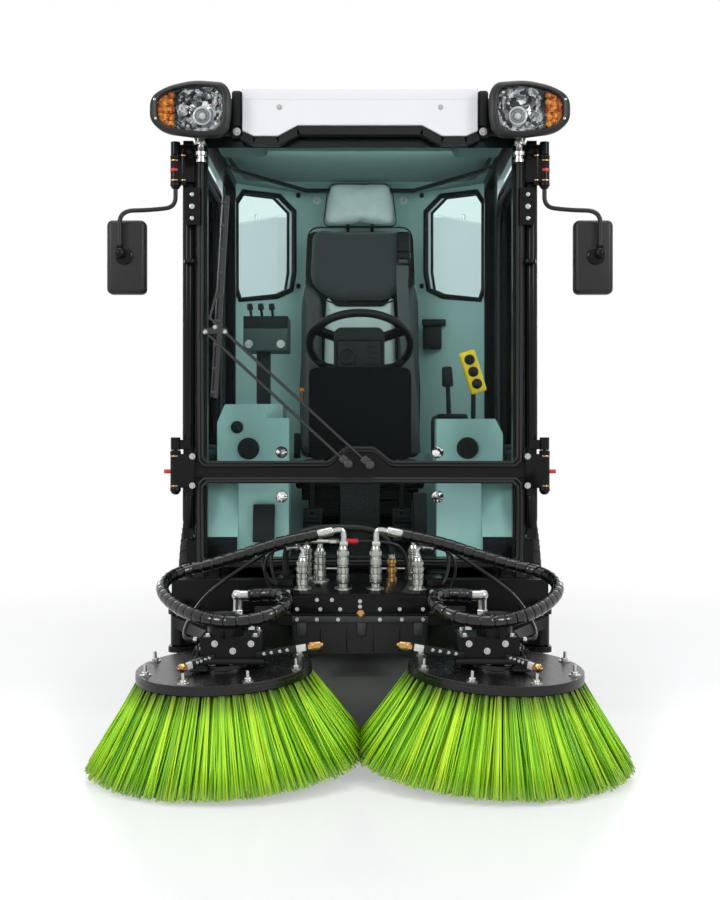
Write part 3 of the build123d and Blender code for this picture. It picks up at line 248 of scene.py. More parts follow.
def dress(node, material, edge=1.5, others=(), choose=None):
    """A frame part with its faces joined up and its edges broken, in one or more real finishes."""
    source = frame["nodes"][node]
    wanted = sum(face.area for face in source.data.polygons)
    mesh = bpy.data.meshes.new("dressed_" + node)
    for joined in (True, False):
        shape = bmesh.new()
        shape.from_mesh(source.data)
        bmesh.ops.remove_doubles(shape, verts=shape.verts, dist=0.00002)
        if joined:
            bmesh.ops.dissolve_limit(shape, angle_limit=radians(0.5), verts=shape.verts, edges=shape.edges)
        else:
            bmesh.ops.join_triangles(shape, faces=shape.faces, angle_face_threshold=radians(0.5),
                                     angle_shape_threshold=radians(180))
        shape.to_mesh(mesh)
        shape.free()
        mesh.calc_loop_triangles()
        if abs(sum(triangle.area for triangle in mesh.loop_triangles) - wanted) < 0.002 * wanted:
            break
    mesh.materials.clear()
    mesh.materials.append(material)
    close_up(mesh)
    for other in others:
        mesh.materials.append(other)
    if choose:
        for face in mesh.polygons:
            face.material_index = int(choose((face.center - at(0, 0, 0)) * 1000, face.normal))
    piece = shown("dressed_" + node, mesh)
    if edge:
        broken = piece.modifiers.new("broken_edges", "BEVEL")
        broken.width = edge / 1000
        broken.segments = 2
        broken.limit_method = "ANGLE"
        broken.angle_limit = radians(50)
        broken.harden_normals = False
    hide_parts(node)
    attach(piece, source["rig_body"])
    return piece


black_coat = powder_coat("black_powder_coat", (0.0050, 0.0051, 0.0055), 0.24, peel=0.008, shine=0.15)
for node in ("front_frame", "rear_frame", "front_axle", "rear_axle"):
    dress(node, black_coat, 2)

# ---- Sweeping brushes: bristles ------------------------------------------------------------------
# Each brush holds a few thousand bright green bristles of stiff plastic, set in rows in the underside of
# the disc. They leave it in tufts, splay outwards and end in slightly paler, worn tips. Towards the roots
# their colour is darkened: painted shade under the disc and between the tufts.
BRUSH_PLACE = (378, -700, 280)
BRUSH_FORWARD = radians(3.4)
BRUSH_OUT = radians(2.6)
BRISTLE_ROWS = 9
BRISTLES_IN_ROW = 400
TUFTS_ROUND = 46
ROOT_R = (168, 238)
TIP_R = (326, 394)
ROOT_Z = -13
TIP_Z = -257
BRISTLE_HALF = 2.6


def upright(x, y, z):
    """A place in millimetres whose Z looks up."""
    return Matrix.Translation(at(x, y, z))


def brush_place(side):
    """Where a brush sits: side is -1 for the left and 1 for the right."""
    x, y, z = BRUSH_PLACE
    lean = Matrix.Rotation(BRUSH_FORWARD, 4, "X") @ Matrix.Rotation(side * BRUSH_OUT, 4, "Y")
    return upright(side * x, y, z) @ lean


bristle_green = bpy.data.materials.new("bristle_green")
bristle_green.use_nodes = True
nodes, links = bristle_green.node_tree.nodes, bristle_green.node_tree.links
shader = nodes["Principled BSDF"]
shader.inputs["Roughness"].default_value = 0.42
shader.inputs["Subsurface Weight"].default_value = 0.0
strand = nodes.new("ShaderNodeAttribute")
strand.attribute_name = "strand"
split = nodes.new("ShaderNodeSeparateColor")
shade = nodes.new("ShaderNodeValToRGB")
shade.color_ramp.elements[0].color = (0.045, 0.23, 0.008, 1)
shade.color_ramp.elements[0].position = 0.0
shade.color_ramp.elements[1].color = (0.68, 0.94, 0.035, 1)
shade.color_ramp.elements[1].position = 1.0
middle = shade.color_ramp.elements.new(0.45)
middle.color = (0.33, 0.77, 0.014, 1)
worn = nodes.new("ShaderNodeMix")
worn.data_type = "RGBA"
worn.inputs[7].default_value = (0.52, 0.74, 0.24, 1)
tip = nodes.new("ShaderNodeMapRange")
tip.inputs["From Min"].default_value = 0.86
tip.inputs["From Max"].default_value = 1.0
tip.inputs["To Max"].default_value = 0.35
# Painted shade: deep darkens each bristle over the first quarter of its length from the root, as if shaded
# under the disc.
deep = nodes.new("ShaderNodeMapRange")
deep.inputs["From Min"].default_value = 0.0
deep.inputs["From Max"].default_value = 0.25
deep.inputs["To Min"].default_value = 0.22
painted_root_shade = nodes.new("ShaderNodeMix")
painted_root_shade.data_type = "RGBA"
painted_root_shade.blend_type = "MULTIPLY"
painted_root_shade.inputs[0].default_value = 1.0
links.new(strand.outputs["Color"], split.inputs["Color"])
links.new(split.outputs["Red"], shade.inputs["Fac"])
links.new(split.outputs["Green"], tip.inputs["Value"])
links.new(split.outputs["Green"], deep.inputs["Value"])
links.new(shade.outputs["Color"], worn.inputs[6])
links.new(tip.outputs["Result"], worn.inputs[0])
links.new(worn.outputs[2], painted_root_shade.inputs[6])
links.new(deep.outputs["Result"], painted_root_shade.inputs[7])
links.new(painted_root_shade.outputs[2], shader.inputs["Base Color"])


def bristles(side, name, node, body, seed):
    """Rows of three-sided tapered bristles, each with its own shade, bend and length."""
    chance = random.Random(seed)
    place = brush_place(side)
    shape = bmesh.new()
    paint = shape.verts.layers.float_color.new("strand")
    for row in range(BRISTLE_ROWS):
        share = row / (BRISTLE_ROWS - 1)
        for number in range(BRISTLES_IN_ROW):
            tuft = chance.randrange(TUFTS_ROUND)
            middle_turn = 2 * pi * (tuft + 0.5 * (row % 2)) / TUFTS_ROUND
            turn = middle_turn + chance.gauss(0, 0.0135)
            root_r = ROOT_R[0] + share * (ROOT_R[1] - ROOT_R[0]) + chance.uniform(-4, 4)
            tip_r = TIP_R[0] + share * (TIP_R[1] - TIP_R[0]) + chance.uniform(-16, 1)
            tip_z = TIP_Z + share * 14 + chance.choice((0, 0, 6, 12, 22)) * chance.random()
            tip_turn = middle_turn + (turn - middle_turn) * 1.8 + chance.gauss(0, 0.012)
            bow = chance.uniform(-5, 4)
            tuft_shade = (tuft * 7 + row * 3) % 11 / 11
            colour = [min(1, max(0, 0.35 * tuft_shade + 0.72 * chance.random() ** 0.9)), 0, 0, 1]
            spread = chance.uniform(0, pi)
            ring_before = None
            for step in (0, 0.34, 0.68, 1):
                radius = root_r + (tip_r - root_r) * step + bow * sin(pi * step)
                level = ROOT_Z + (tip_z - ROOT_Z) * step
                around = turn + (tip_turn - turn) * step
                thick = BRISTLE_HALF * (1.25 - 0.35 * step)
                middle_point = Vector((radius * cos(around), radius * sin(around), level))
                outward = Vector((cos(around), sin(around), 0))
                across = Vector((-sin(around), cos(around), 0))
                colour[1] = step
                ring = []
                for corner in range(3):
                    lean = spread + corner * 2 * pi / 3
                    off = outward * cos(lean) * thick + across * sin(lean) * thick
                    vertex = shape.verts.new(place @ ((middle_point + off) / 1000))
                    vertex[paint] = colour
                    ring.append(vertex)
                if ring_before:
                    for corner in range(3):
                        after = (corner + 1) % 3
                        shape.faces.new((ring_before[corner], ring_before[after], ring[after], ring[corner]))
                ring_before = ring
            shape.faces.new(ring_before)
    bmesh.ops.recalc_face_normals(shape, faces=shape.faces)
    mesh = bpy.data.meshes.new(name)
    shape.to_mesh(mesh)
    shape.free()
    mesh.materials.append(bristle_green)
    mesh.shade_smooth()
    piece = shown(name, mesh)
    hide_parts(node)
    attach(piece, body)


bristles(-1, "bristle_rows_left", "bristles_left", "brush_left", 11)
bristles(1, "bristle_rows_right", "bristles_right", "brush_right", 12)

# ---- Sweeping brushes: discs ---------------------------------------------------------------------
# A black moulded disc with a rolled rim and a raised clamping plate in the middle. Zinc-plated bolts hold
# the plate, and a second circle of screws holds the bristle segments.
DISC_R = 245
DISC_HALF = 14


def rod_in(shape, start, end, radius, end_radius=None, sides=24, edge=0):
    """A round rod, cone or disc between two points in millimetres."""
    first, last = at(*start), at(*end)
    along = last - first
    place = Matrix.Translation((first + last) / 2) @ along.to_track_quat("Z", "Y").to_matrix().to_4x4()
    far_radius = radius if end_radius is None else end_radius
    made = bmesh.ops.create_cone(
        shape, cap_ends=True, cap_tris=False, segments=sides, radius1=radius / 1000,
        radius2=far_radius / 1000, depth=along.length, matrix=place)["verts"]
    if edge:
        rims = {e for v in made for e in v.link_edges if len(e.link_faces) == 2
                and max(len(f.verts) for f in e.link_faces) > 4}
        bmesh.ops.bevel(shape, geom=list(rims), offset=edge / 1000, segments=2, profile=0.5,
                        affect="EDGES", material=-1)


def box_in(shape, low, high, edge=0, turn=None, segments=2):
    """A block between two corners in millimetres, with its edges rounded and turned about its middle."""
    made = bmesh.ops.create_cube(shape, size=1)["verts"]
    size = [abs(b - a) / 1000 for a, b in zip(low, high)]
    bmesh.ops.scale(shape, vec=size, verts=made)
    middle = (at(*low) + at(*high)) / 2
    place = Matrix.Translation(middle)
    if turn:
        place = place @ turn
    bmesh.ops.transform(shape, matrix=place, verts=made)
    if edge:
        edges = {e for v in made for e in v.link_edges}
        bmesh.ops.bevel(shape, geom=list(edges), offset=edge / 1000, segments=segments, profile=0.5,
                        affect="EDGES", material=-1)


def turned_in(shape, profile, place, steps=48):
    """A profile of (radius, height) points in millimetres, spun about its own axis and put in place."""
    before = set(shape.verts)
    points = [shape.verts.new((r / 1000, 0, z / 1000)) for r, z in profile]
    edges = [shape.edges.new(pair) for pair in zip(points, points[1:])]
    bmesh.ops.spin(shape, geom=points + edges, cent=(0, 0, 0), axis=(0, 0, 1), dvec=(0, 0, 0),
                   angle=2 * pi, steps=steps, use_merge=True, use_duplicate=False)
    made = [v for v in shape.verts if v not in before]
    bmesh.ops.remove_doubles(shape, verts=made, dist=0.00001)
    made = [v for v in shape.verts if v not in before]
    bmesh.ops.transform(shape, matrix=place, verts=made)
    faces = {f for v in made for f in v.link_faces}
    bmesh.ops.recalc_face_normals(shape, faces=list(faces))


def around(place, turn, offset):
    """A place turned about its own Z and then moved off it, in metres."""
    return place @ Matrix.Rotation(turn, 4, "Z") @ Matrix.Translation(offset)


def hex_bolt(shape, place, size, high):
    """A hexagon head on its washer, with its axis along the place's Z."""
    washer = place @ Matrix.Translation((0, 0, high * 0.00012))
    bmesh.ops.create_cone(shape, cap_ends=True, segments=20, radius1=size * 0.00092, radius2=size * 0.00092,
                          depth=high * 0.00024, matrix=washer)
    head = place @ Matrix.Translation((0, 0, high * 0.0006))
    made = bmesh.ops.create_cone(shape, cap_ends=True, segments=6, radius1=size * 0.00058,
                                 radius2=size * 0.00058, depth=high * 0.0008, matrix=head)["verts"]
    edges = {e for v in made for e in v.link_edges}
    bmesh.ops.bevel(shape, geom=list(edges), offset=size * 0.00006, segments=1, profile=0.5,
                    affect="EDGES", material=-1)


def put(name, shape, material, body, slot=None, angle=35, *nodes_replaced):
    """Turns a finished shape into a piece of the machine that rides on one of its bodies."""
    bmesh.ops.recalc_face_normals(shape, faces=shape.faces)
    mesh = bpy.data.meshes.new(name)
    shape.to_mesh(mesh)
    shape.free()
    mesh.materials.append(material)
    close_up(mesh, angle)
    piece = shown(name, mesh)
    if nodes_replaced:
        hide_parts(*nodes_replaced)
    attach(piece, body)
    return piece


SIDES = ((-1, "left"), (1, "right"))
disc_black = powder_coat("disc_black_moulding", (0.0040, 0.0040, 0.0043), 0.26, mottle=0.25, patch=14,
                         peel=0.05, peel_size=260, shine=0.35)
zinc = powder_coat("zinc_plating", (0.50, 0.51, 0.49), 0.24, metallic=1.0, mottle=0.1, patch=40, peel=0.03,
                   peel_size=300)
for side, word in SIDES:
    place = brush_place(side)
    disc = bmesh.new()
    turned_in(disc, [
        (20, -DISC_HALF), (DISC_R - 3, -DISC_HALF), (DISC_R, -DISC_HALF + 3), (DISC_R, 2), (DISC_R - 1, 3),
        (DISC_R - 1, 12), (DISC_R - 3, DISC_HALF), (120, DISC_HALF), (118, DISC_HALF - 2),
        (86, DISC_HALF - 2), (84, DISC_HALF), (72, DISC_HALF), (70, DISC_HALF + 11), (66, DISC_HALF + 12),
        (20, DISC_HALF + 12), (20, -DISC_HALF),
    ], place, steps=96)
    put("brush_plate_" + word, disc, disc_black, "brush_" + word, None, 30, "brush_disc_" + word)
    bolts = bmesh.new()
    for number in range(6):
        hex_bolt(bolts, around(place, 2 * pi * number / 6, (0.052, 0, (DISC_HALF + 12) / 1000)), 13, 9)
    for number in range(8):
        stud = around(place, 2 * pi * (number + 0.5) / 8, (0.222, 0, 0.014))
        hex_bolt(bolts, stud, 17, 11)
        bmesh.ops.create_cone(bolts, cap_ends=True, segments=12, radius1=0.005, radius2=0.0045, depth=0.018,
                              matrix=stud @ Matrix.Translation((0, 0, 0.020)))
    put("brush_bolts_" + word, bolts, zinc, "brush_" + word, "cylinder_steel")

# ---- Hydraulic hoses -----------------------------------------------------------------------------
# Two thick motor hoses in a black spiral guard loop out over the brushes from the coupling box to the
# motors. A thin return hose runs beside each, and one more hose crosses over the couplers.
GUARD_PITCH = 33
GUARD_SLANT = 0.22
# Place along one pitch and depth below the guard's outside, in millimetres.
GUARD_PROFILE = [(0, 3.4), (3.0, 3.4), (3.4, 0.5), (4.6, 0), (10, 0), (16, 0), (22, 0), (27.5, 0),
                 (32.0, 0.5), (32.9, 3.4)]
LEFT_LOOP = [
    (-130, -338, 634), (-245, -352, 612), (-349, -380, 577), (-455, -398, 545), (-540, -430, 528),
    (-578, -500, 508), (-570, -590, 484), (-522, -680, 458), (-455, -765, 440), (-375, -815, 428),
    (-300, -822, 432), (-235, -795, 448), (-200, -742, 470), (-212, -680, 486), (-262, -638, 486),
    (-315, -632, 480),
]
LEFT_RETURN = [
    (-177, -330, 562), (-177.5, -329, 586), (-192, -308, 606), (-226, -276, 608), (-268, -258, 588),
    (-318, -250, 556), (-372, -252, 521), (-425, -268, 486), (-462, -310, 456), (-482, -370, 434),
    (-494, -440, 414), (-502, -510, 394), (-506, -570, 376), (-503, -612, 362), (-489, -637, 356),
    (-463.5, -641, 355),
]
CROSS_HOSE = [
    (-230, -215, 472.5), (-238, -214, 530), (-232, -222, 590), (-196, -240, 632), (-130, -256, 650),
    (-50, -262, 650), (20, -262, 648), (72, -254, 626), (97, -243, 592), (100, -240, 562.5),
]


def other_side(route):
    """A route mirrored to the machine's other side."""
    return [(-x, y, z) for x, y, z in route]


def worked_out(piece):
    """A new mesh of an object with its curve or its modifiers worked out."""
    return bpy.data.meshes.new_from_object(piece.evaluated_get(bpy.context.evaluated_depsgraph_get()))


def centre_line(name, route):
    """The even run of points along one open spline that a hose follows."""
    curve = bpy.data.curves.new(name, "CURVE")
    curve.dimensions = "3D"
    curve.resolution_u = 40
    spline = curve.splines.new("NURBS")
    spline.points.add(len(route) - 1)
    for point, place in zip(spline.points, route):
        point.co = [*at(*place), 1]
    spline.order_u = 3
    spline.use_endpoint_u = True
    holder = shown(name, curve)
    bpy.context.view_layer.update()
    wire = worked_out(holder)
    raw = [v.co.copy() for v in wire.vertices]
    bpy.data.objects.remove(holder)
    bpy.data.meshes.remove(wire)
    return raw


def points_along(raw, distances):
    """The points at the given distances, in metres, along a run of points."""
    runs = [(b - a).length for a, b in zip(raw, raw[1:])]
    found, gone, index = [], 0.0, 0
    for wanted in distances:
        wanted = min(max(wanted, 0), sum(runs))
        while index < len(runs) - 1 and gone + runs[index] < wanted:
            gone += runs[index]
            index += 1
        while index > 0 and gone > wanted:
            index -= 1
            gone -= runs[index]
        found.append(raw[index].lerp(raw[index + 1], (wanted - gone) / runs[index]))
    return found


def hose(name, route, radius, material, node, bodies, sides, step, guard=False):
    """A hose of real length along its route, with or without the bands of its spiral guard."""
    raw = centre_line(name, route)
    length = sum((b - a).length for a, b in zip(raw, raw[1:]))
    if guard:
        stations = []
        for band in range(int(length * 1000 / GUARD_PITCH) + 1):
            for place, deep in GUARD_PROFILE:
                distance = (band * GUARD_PITCH + place) / 1000
                if distance < length - 0.0002:
                    stations.append((distance, deep))
        stations.append((length, 0))
    else:
        count = round(length * 1000 / step)
        stations = [(length * number / count, 0) for number in range(count + 1)]
    distances = [distance for distance, deep in stations]
    line = points_along(raw, distances)
    aheads = points_along(raw, [distance + 0.004 for distance in distances])
    behinds = points_along(raw, [distance - 0.004 for distance in distances])
    shape = bmesh.new()
    side = (aheads[0] - behinds[0]).orthogonal().normalized()
    ring_before = None
    for point, ahead, behind, (distance, deep) in zip(line, aheads, behinds, stations):
        forward = (ahead - behind).normalized()
        side = (side - forward * side.dot(forward)).normalized()
        third = forward.cross(side)
        near_end = min(distance, length - distance)
        slant = GUARD_SLANT * min(1, near_end / 0.012) if guard else 0
        ring = []
        for corner in range(sides):
            turn = 2 * pi * corner / sides
            out = side * cos(turn) + third * sin(turn) + forward * slant * cos(turn)
            ring.append(shape.verts.new(point + out * (radius - deep) / 1000))
        if ring_before:
            for corner in range(sides):
                after_corner = (corner + 1) % sides
                shape.faces.new((ring_before[corner], ring_before[after_corner], ring[after_corner],
                                 ring[corner]))
        else:
            shape.faces.new(ring[::-1])
        ring_before = ring
    shape.faces.new(ring_before)
    bmesh.ops.recalc_face_normals(shape, faces=shape.faces)
    mesh = bpy.data.meshes.new(name)
    shape.to_mesh(mesh)
    shape.free()
    mesh.materials.append(material)
    close_up(mesh, 40)
    piece = shown(name, mesh)
    if node:
        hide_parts(node)
    print("hose", name, round(length, 3))
    if len(bodies) == 2:
        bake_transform(piece)
    else:
        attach(piece, bodies[0])
    return piece


guard_black = powder_coat("spiral_guard_black", (0.0030, 0.0030, 0.0034), 0.14, mottle=0.15, patch=30,
                          peel=0.01, shine=0.5)
hose_rubber = powder_coat("hose_rubber", (0.008, 0.008, 0.0085), 0.40, mottle=0.2, patch=25, peel=0.06,
                          peel_size=700, shine=0.3)
for mirror_route, word, flip in ((lambda r: r, "left", 1), (other_side, "right", -1)):
    pair = ("front", "brush_arm_" + word)
    hose("motor_hose_" + word, mirror_route(LEFT_LOOP), 18.5, guard_black, "hose_" + word, pair, 28,
         2.2, True)
    hose("return_hose_" + word, mirror_route(LEFT_RETURN), 6, hose_rubber, "hose_thin_" + word, pair,
         12, 5)
hose("cross_hose", CROSS_HOSE, 10, hose_rubber, "hose_cross", ("front",), 16, 4)

# ---- Cab panels and covers that keep their own shape ---------------------------------------------
# The cab's cage, floor, walls and roof, the doors, the arms, the mudguarded rear frame's covers and the
# steel ducts. Each is a welded, pressed or moulded part whose form is the frame's own.
inside_grey = powder_coat("cab_lining_grey", (0.36, 0.54, 0.52), 0.62, mottle=0.10, patch=6, peel=0.22,
                          peel_size=900, shine=0.25)
body_white = powder_coat("body_white_gelcoat", (0.75, 0.755, 0.772), 0.22, mottle=0.015, patch=3, peel=0.015,
                         coat=0.25)
floor_mat = powder_coat("ribbed_floor_mat", (0.020, 0.022, 0.022), 0.7, mottle=0.3, patch=30, peel=0.5,
                        peel_size=600)
dark_trim = powder_coat("dark_trim_moulding", (0.009, 0.0100, 0.0100), 0.45, mottle=0.2, patch=12, peel=0.2,
                        peel_size=900, shine=0.22)
duct_steel = powder_coat("duct_painted_steel", (0.020, 0.020, 0.021), 0.40, mottle=0.2, patch=8, peel=0.1,
                         shine=0.4)
engine_iron = powder_coat("engine_cast_iron", (0.10, 0.105, 0.11), 0.60, metallic=0.4, mottle=0.25, patch=10,
                          peel=0.6, peel_size=240)
chrome = powder_coat("rod_hard_chrome", (0.70, 0.71, 0.72), 0.10, metallic=1.0, mottle=0.04, patch=30,
                     peel=0.01)
# The rear wall's inner face, and half the width of its flat middle.
REAR_WALL_Y = 1250
WALL_FLAT_HALF = 233


def inside_cab(middle, normal):
    """True for faces that look into the driver's space."""
    chamfer = REAR_WALL_Y - (abs(middle.x) - WALL_FLAT_HALF) * 0.78
    return middle.y < min(REAR_WALL_Y + 1, chamfer + 3) and abs(middle.x) < 561


dress("cab_cage", black_coat, 5)


def floor_faces(middle, normal):
    """0 for the painted outside, 1 for the rubber mat, 2 for the moulded lining."""
    if normal.z > 0.9 and 515 < middle.z < 525:
        return 1
    lining = middle.z > 521 and (abs(middle.x) < 428 or (abs(middle.x) < 552 and normal.z > 0.3))
    return 2 if lining else 0


dress("cab_floor", black_coat, 2, (floor_mat, inside_grey), floor_faces)
dress("cab_rear_wall", body_white, 2, (inside_grey,), inside_cab)
dress("cab_roof", body_white, 3, (inside_grey,), lambda m, n: m.z < 2016 and n.z < -0.5 and m.y > 60)
# The hood's grey is lifted far above its dark paint: painted light, standing in for light on the shaded hood
# between the brushes.
hood_painted_light_grey = powder_coat("hood_paint_lifted_as_painted_light", (0.16, 0.16, 0.165), 0.42, mottle=0.25, patch=6, peel=0.1,
                        peel_size=500, shine=0.3)
dress("door_left", black_coat, 4)
dress("door_right", black_coat, 4)
dress("suction_hood", hood_painted_light_grey, 2)
dress("suction_duct", duct_steel, 0)
dress("suction_elbow", duct_steel, 0)
dress("engine_block", engine_iron, 6)


def arm_faces(middle, normal):
    """1 for the zinc elbow that the motor hose ends in, 0 for the painted arm."""
    return middle.z > 412 and ((abs(middle.x) - 333) ** 2 + (middle.y + 632) ** 2) ** 0.5 < 38


dress("brush_arm_left", black_coat, 1.5, (zinc,), arm_faces)
dress("brush_arm_right", black_coat, 1.5, (zinc,), arm_faces)
dress("steer_barrel", black_coat, 1)
dress("steer_rod", chrome, 1)
dress("tip_barrels", black_coat, 1)
dress("tip_rods", chrome, 1)
dress("side_tanks", dark_trim, 4)


def console_faces(middle, normal):
    """1 for the black levers' box, the arm rest and the pendant's post; 0 for the grey moulding."""
    return middle.z > 1056 or (middle.x > 279 and middle.y > 419 and middle.z > 881)


dress("side_consoles", inside_grey, 5, (dark_trim,), console_faces)
dress("seat_base", dark_trim, 4)
dress("dash_column", dark_trim, 5)
dress("steering_wheel", dark_trim, 0)
dress("engine_cowl", black_coat, 3)
dress("hopper", body_white, 4)
dress("tailgate", body_white, 3)
wiper_coat = powder_coat("wiper_gloss_black", (0.010, 0.010, 0.011), 0.16, mottle=0.15, patch=30, peel=0.01,
                         shine=0.6)
dress("wiper", wiper_coat, 1)
dress("front_curtain", hose_rubber, 0)
backing = bmesh.new()
box_in(backing, (-204, -394.8, 282), (204, -391, 396), 0.8)
for side in (-1, 1):
    box_in(backing, (side * 206, -262, 246), (side * 330, -257, 404), 1.2)
put("curtain_backing", backing, hose_rubber, "front", "hose_rubber")

# ---- Cab glass -----------------------------------------------------------------------------------
# Green-tinted laminated panes in the front, in the doors and in the rear corners. Each pane keeps the
# frame's thickness and shows a soft mirror image only at a flat angle.


def thin_glass(name, index, rough):
    """A clear pane and its see-through part: light goes straight through, with a mirror image when flat."""
    pane = bpy.data.materials.new(name)
    pane.use_nodes = True
    nodes, links = pane.node_tree.nodes, pane.node_tree.links
    nodes.remove(nodes["Principled BSDF"])
    clear = nodes.new("ShaderNodeBsdfTransparent")
    shine = nodes.new("ShaderNodeBsdfGlossy")
    shine.inputs["Roughness"].default_value = rough
    edge_on = nodes.new("ShaderNodeFresnel")
    edge_on.inputs["IOR"].default_value = index
    both_ways = nodes.new("ShaderNodeMixShader")
    links.new(edge_on.outputs["Fac"], both_ways.inputs["Fac"])
    links.new(clear.outputs["BSDF"], both_ways.inputs[1])
    links.new(shine.outputs["BSDF"], both_ways.inputs[2])
    links.new(both_ways.outputs["Shader"], nodes["Material Output"].inputs["Surface"])
    return pane, clear


tinted_glass, clear = thin_glass("tinted_glass", 1.1, 0.02)
nodes, links = tinted_glass.node_tree.nodes, tinted_glass.node_tree.links
place = nodes.new("ShaderNodeTexCoord")
cloud = nodes.new("ShaderNodeTexNoise")
cloud.inputs["Scale"].default_value = 2.5
tint = nodes.new("ShaderNodeMix")
tint.data_type = "RGBA"
tint.inputs[6].default_value = (0.895, 0.962, 0.952, 1)
tint.inputs[7].default_value = (0.915, 0.970, 0.962, 1)
links.new(place.outputs["Object"], cloud.inputs["Vector"])
links.new(cloud.outputs["Fac"], tint.inputs[0])
links.new(tint.outputs[2], clear.inputs["Color"])
for node in ("cab_glass", "door_glass_left", "door_glass_right"):
    pane = frame["nodes"][node]
    pane.data.materials.clear()
    pane.data.materials.append(tinted_glass)

# ---- Window seals and glass fixings --------------------------------------------------------------
# A rubber seal with a raised bead runs round both front panes, and four domed chrome fixings clamp the
# glass. Black printed bands cover the glued edges of the panes.
seal_rubber = powder_coat("seal_rubber", (0.011, 0.0115, 0.012), 0.42, mottle=0.2, patch=20, peel=0.15,
                          peel_size=900, shine=0.3)
SCREEN_OUTLINE = [
    (-525, 1925), (-525, 868), (-508, 851), (-112, 851), (-96, 857), (-52, 893), (-40, 899), (40, 899),
    (52, 893), (96, 857), (112, 851), (508, 851), (525, 868), (525, 1925), (508, 1942), (-508, 1942),
]
LOWER_OUTLINE = [
    (-525, 536), (-508, 521), (508, 521), (525, 536), (525, 772), (508, 788), (-508, 788), (-525, 772),
]


def bead_in(shape, points, radius, sides=8, closed=True):
    """A round bead that follows a run of points, with its corners mitred."""
    curve = bpy.data.curves.new("bead", "CURVE")
    curve.dimensions = "3D"
    curve.bevel_depth = radius / 1000
    curve.bevel_resolution = sides // 4
    curve.use_fill_caps = not closed
    run = curve.splines.new("POLY")
    run.points.add(len(points) - 1)
    for point, place in zip(run.points, points):
        point.co = [*at(*place), 1]
    run.use_cyclic_u = closed
    holder = shown("bead", curve)
    bpy.context.view_layer.update()
    made = worked_out(holder)
    shape.from_mesh(made)
    bpy.data.objects.remove(holder)
    bpy.data.meshes.remove(made)


def band_in(shape, outline, inset, level, rise):
    """A flat band just inside an outline, lying on the glass."""
    points = [shape.verts.new(at(x, level, z)) for x, z in outline]
    face = shape.faces.new(points)
    inner = bmesh.ops.inset_region(shape, faces=[face], thickness=inset / 1000, use_even_offset=True)
    bmesh.ops.delete(shape, geom=[face], context="FACES_ONLY")
    ring = inner["faces"]
    bmesh.ops.solidify(shape, geom=ring, thickness=rise / 1000)


seals = bmesh.new()
for outline in (SCREEN_OUTLINE, LOWER_OUTLINE):
    bead_in(seals, [(x, -12, z) for x, z in outline], 6.5)
    wide = [(x * 1.022, -9, z + (9 if z > 1400 or 600 < z < 800 else -9)) for x, z in outline]
    bead_in(seals, wide, 7.5)
put("window_seals", seals, seal_rubber, "front", "hose_rubber", 50)
edge_band = powder_coat("printed_glass_edge", (0.006, 0.007, 0.007), 0.2, mottle=0.1, patch=12, peel=0.01,
                        shine=0.3)
bands = bmesh.new()
band_in(bands, SCREEN_OUTLINE, 15, -3.2, 0.6)
band_in(bands, LOWER_OUTLINE, 13, -3.2, 0.6)
box_in(bands, (-520, -3.4, 1900), (520, -2.8, 1938))
put("glass_edge_bands", bands, edge_band, "front", "tinted_glass")


def facing(x, y, z, turn=90):
    """A place in millimetres whose Z looks forward; -90 makes it look back."""
    return upright(x, y, z) @ Matrix.Rotation(radians(turn), 4, "X")


def rib_in(shape, size, place):
    """A rectangular rib of a size in metres, put in its place."""
    rib = bmesh.ops.create_cube(shape, size=1)["verts"]
    bmesh.ops.scale(shape, vec=size, verts=rib)
    bmesh.ops.transform(shape, matrix=place, verts=rib)


fixings = bmesh.new()
for x, z in ((-261, 886), (258, 886), (-261, 738), (258, 738)):
    face_on = facing(x, -10, z)
    turned_in(fixings, [(20, -6), (20, 3), (18, 5.5), (11, 8), (9, 8), (8, 10.5), (3, 11.5), (0.01, 11.6),
                        (0.01, -6), (20, -6)], face_on, 32)
    for turn in range(4):
        slot_place = face_on @ Matrix.Rotation(turn * pi / 2, 4, "Z")
        rib_in(fixings, (0.008, 0.003, 0.004), slot_place @ Matrix.Translation((0.0135, 0, 0.0075)))


def painted_reflection_cells(finish, dark, light, cells):
    """Painted reflections: small cells of darker or brighter base colour stand in for the broken mirror image
    of a cut surface.
    """
    nodes, links = finish.node_tree.nodes, finish.node_tree.links
    place = nodes.new("ShaderNodeTexCoord")
    cut = nodes.new("ShaderNodeTexVoronoi")
    cut.inputs["Scale"].default_value = cells
    cut.distance = "CHEBYCHEV"
    grey = nodes.new("ShaderNodeSeparateColor")
    ramp = nodes.new("ShaderNodeValToRGB")
    ramp.color_ramp.elements[0].position = 0.22
    ramp.color_ramp.elements[0].color = [*dark, 1]
    ramp.color_ramp.elements[1].position = 0.72
    ramp.color_ramp.elements[1].color = [*light, 1]
    links.new(place.outputs["Object"], cut.inputs["Vector"])
    links.new(cut.outputs["Color"], grey.inputs["Color"])
    links.new(grey.outputs["Red"], ramp.inputs["Fac"])
    links.new(ramp.outputs["Color"], nodes["Principled BSDF"].inputs["Base Color"])


fixing_chrome = powder_coat("fixing_chrome", (0.70, 0.71, 0.72), 0.12, metallic=1.0, peel=0.02)
# Painted reflections: the chrome's base colour is broken into dark and bright cells.
painted_reflection_cells(fixing_chrome, (0.03, 0.03, 0.032), (0.82, 0.83, 0.84), 85)
put("glass_fixings", fixings, fixing_chrome, "front", "rod_chrome", 30)

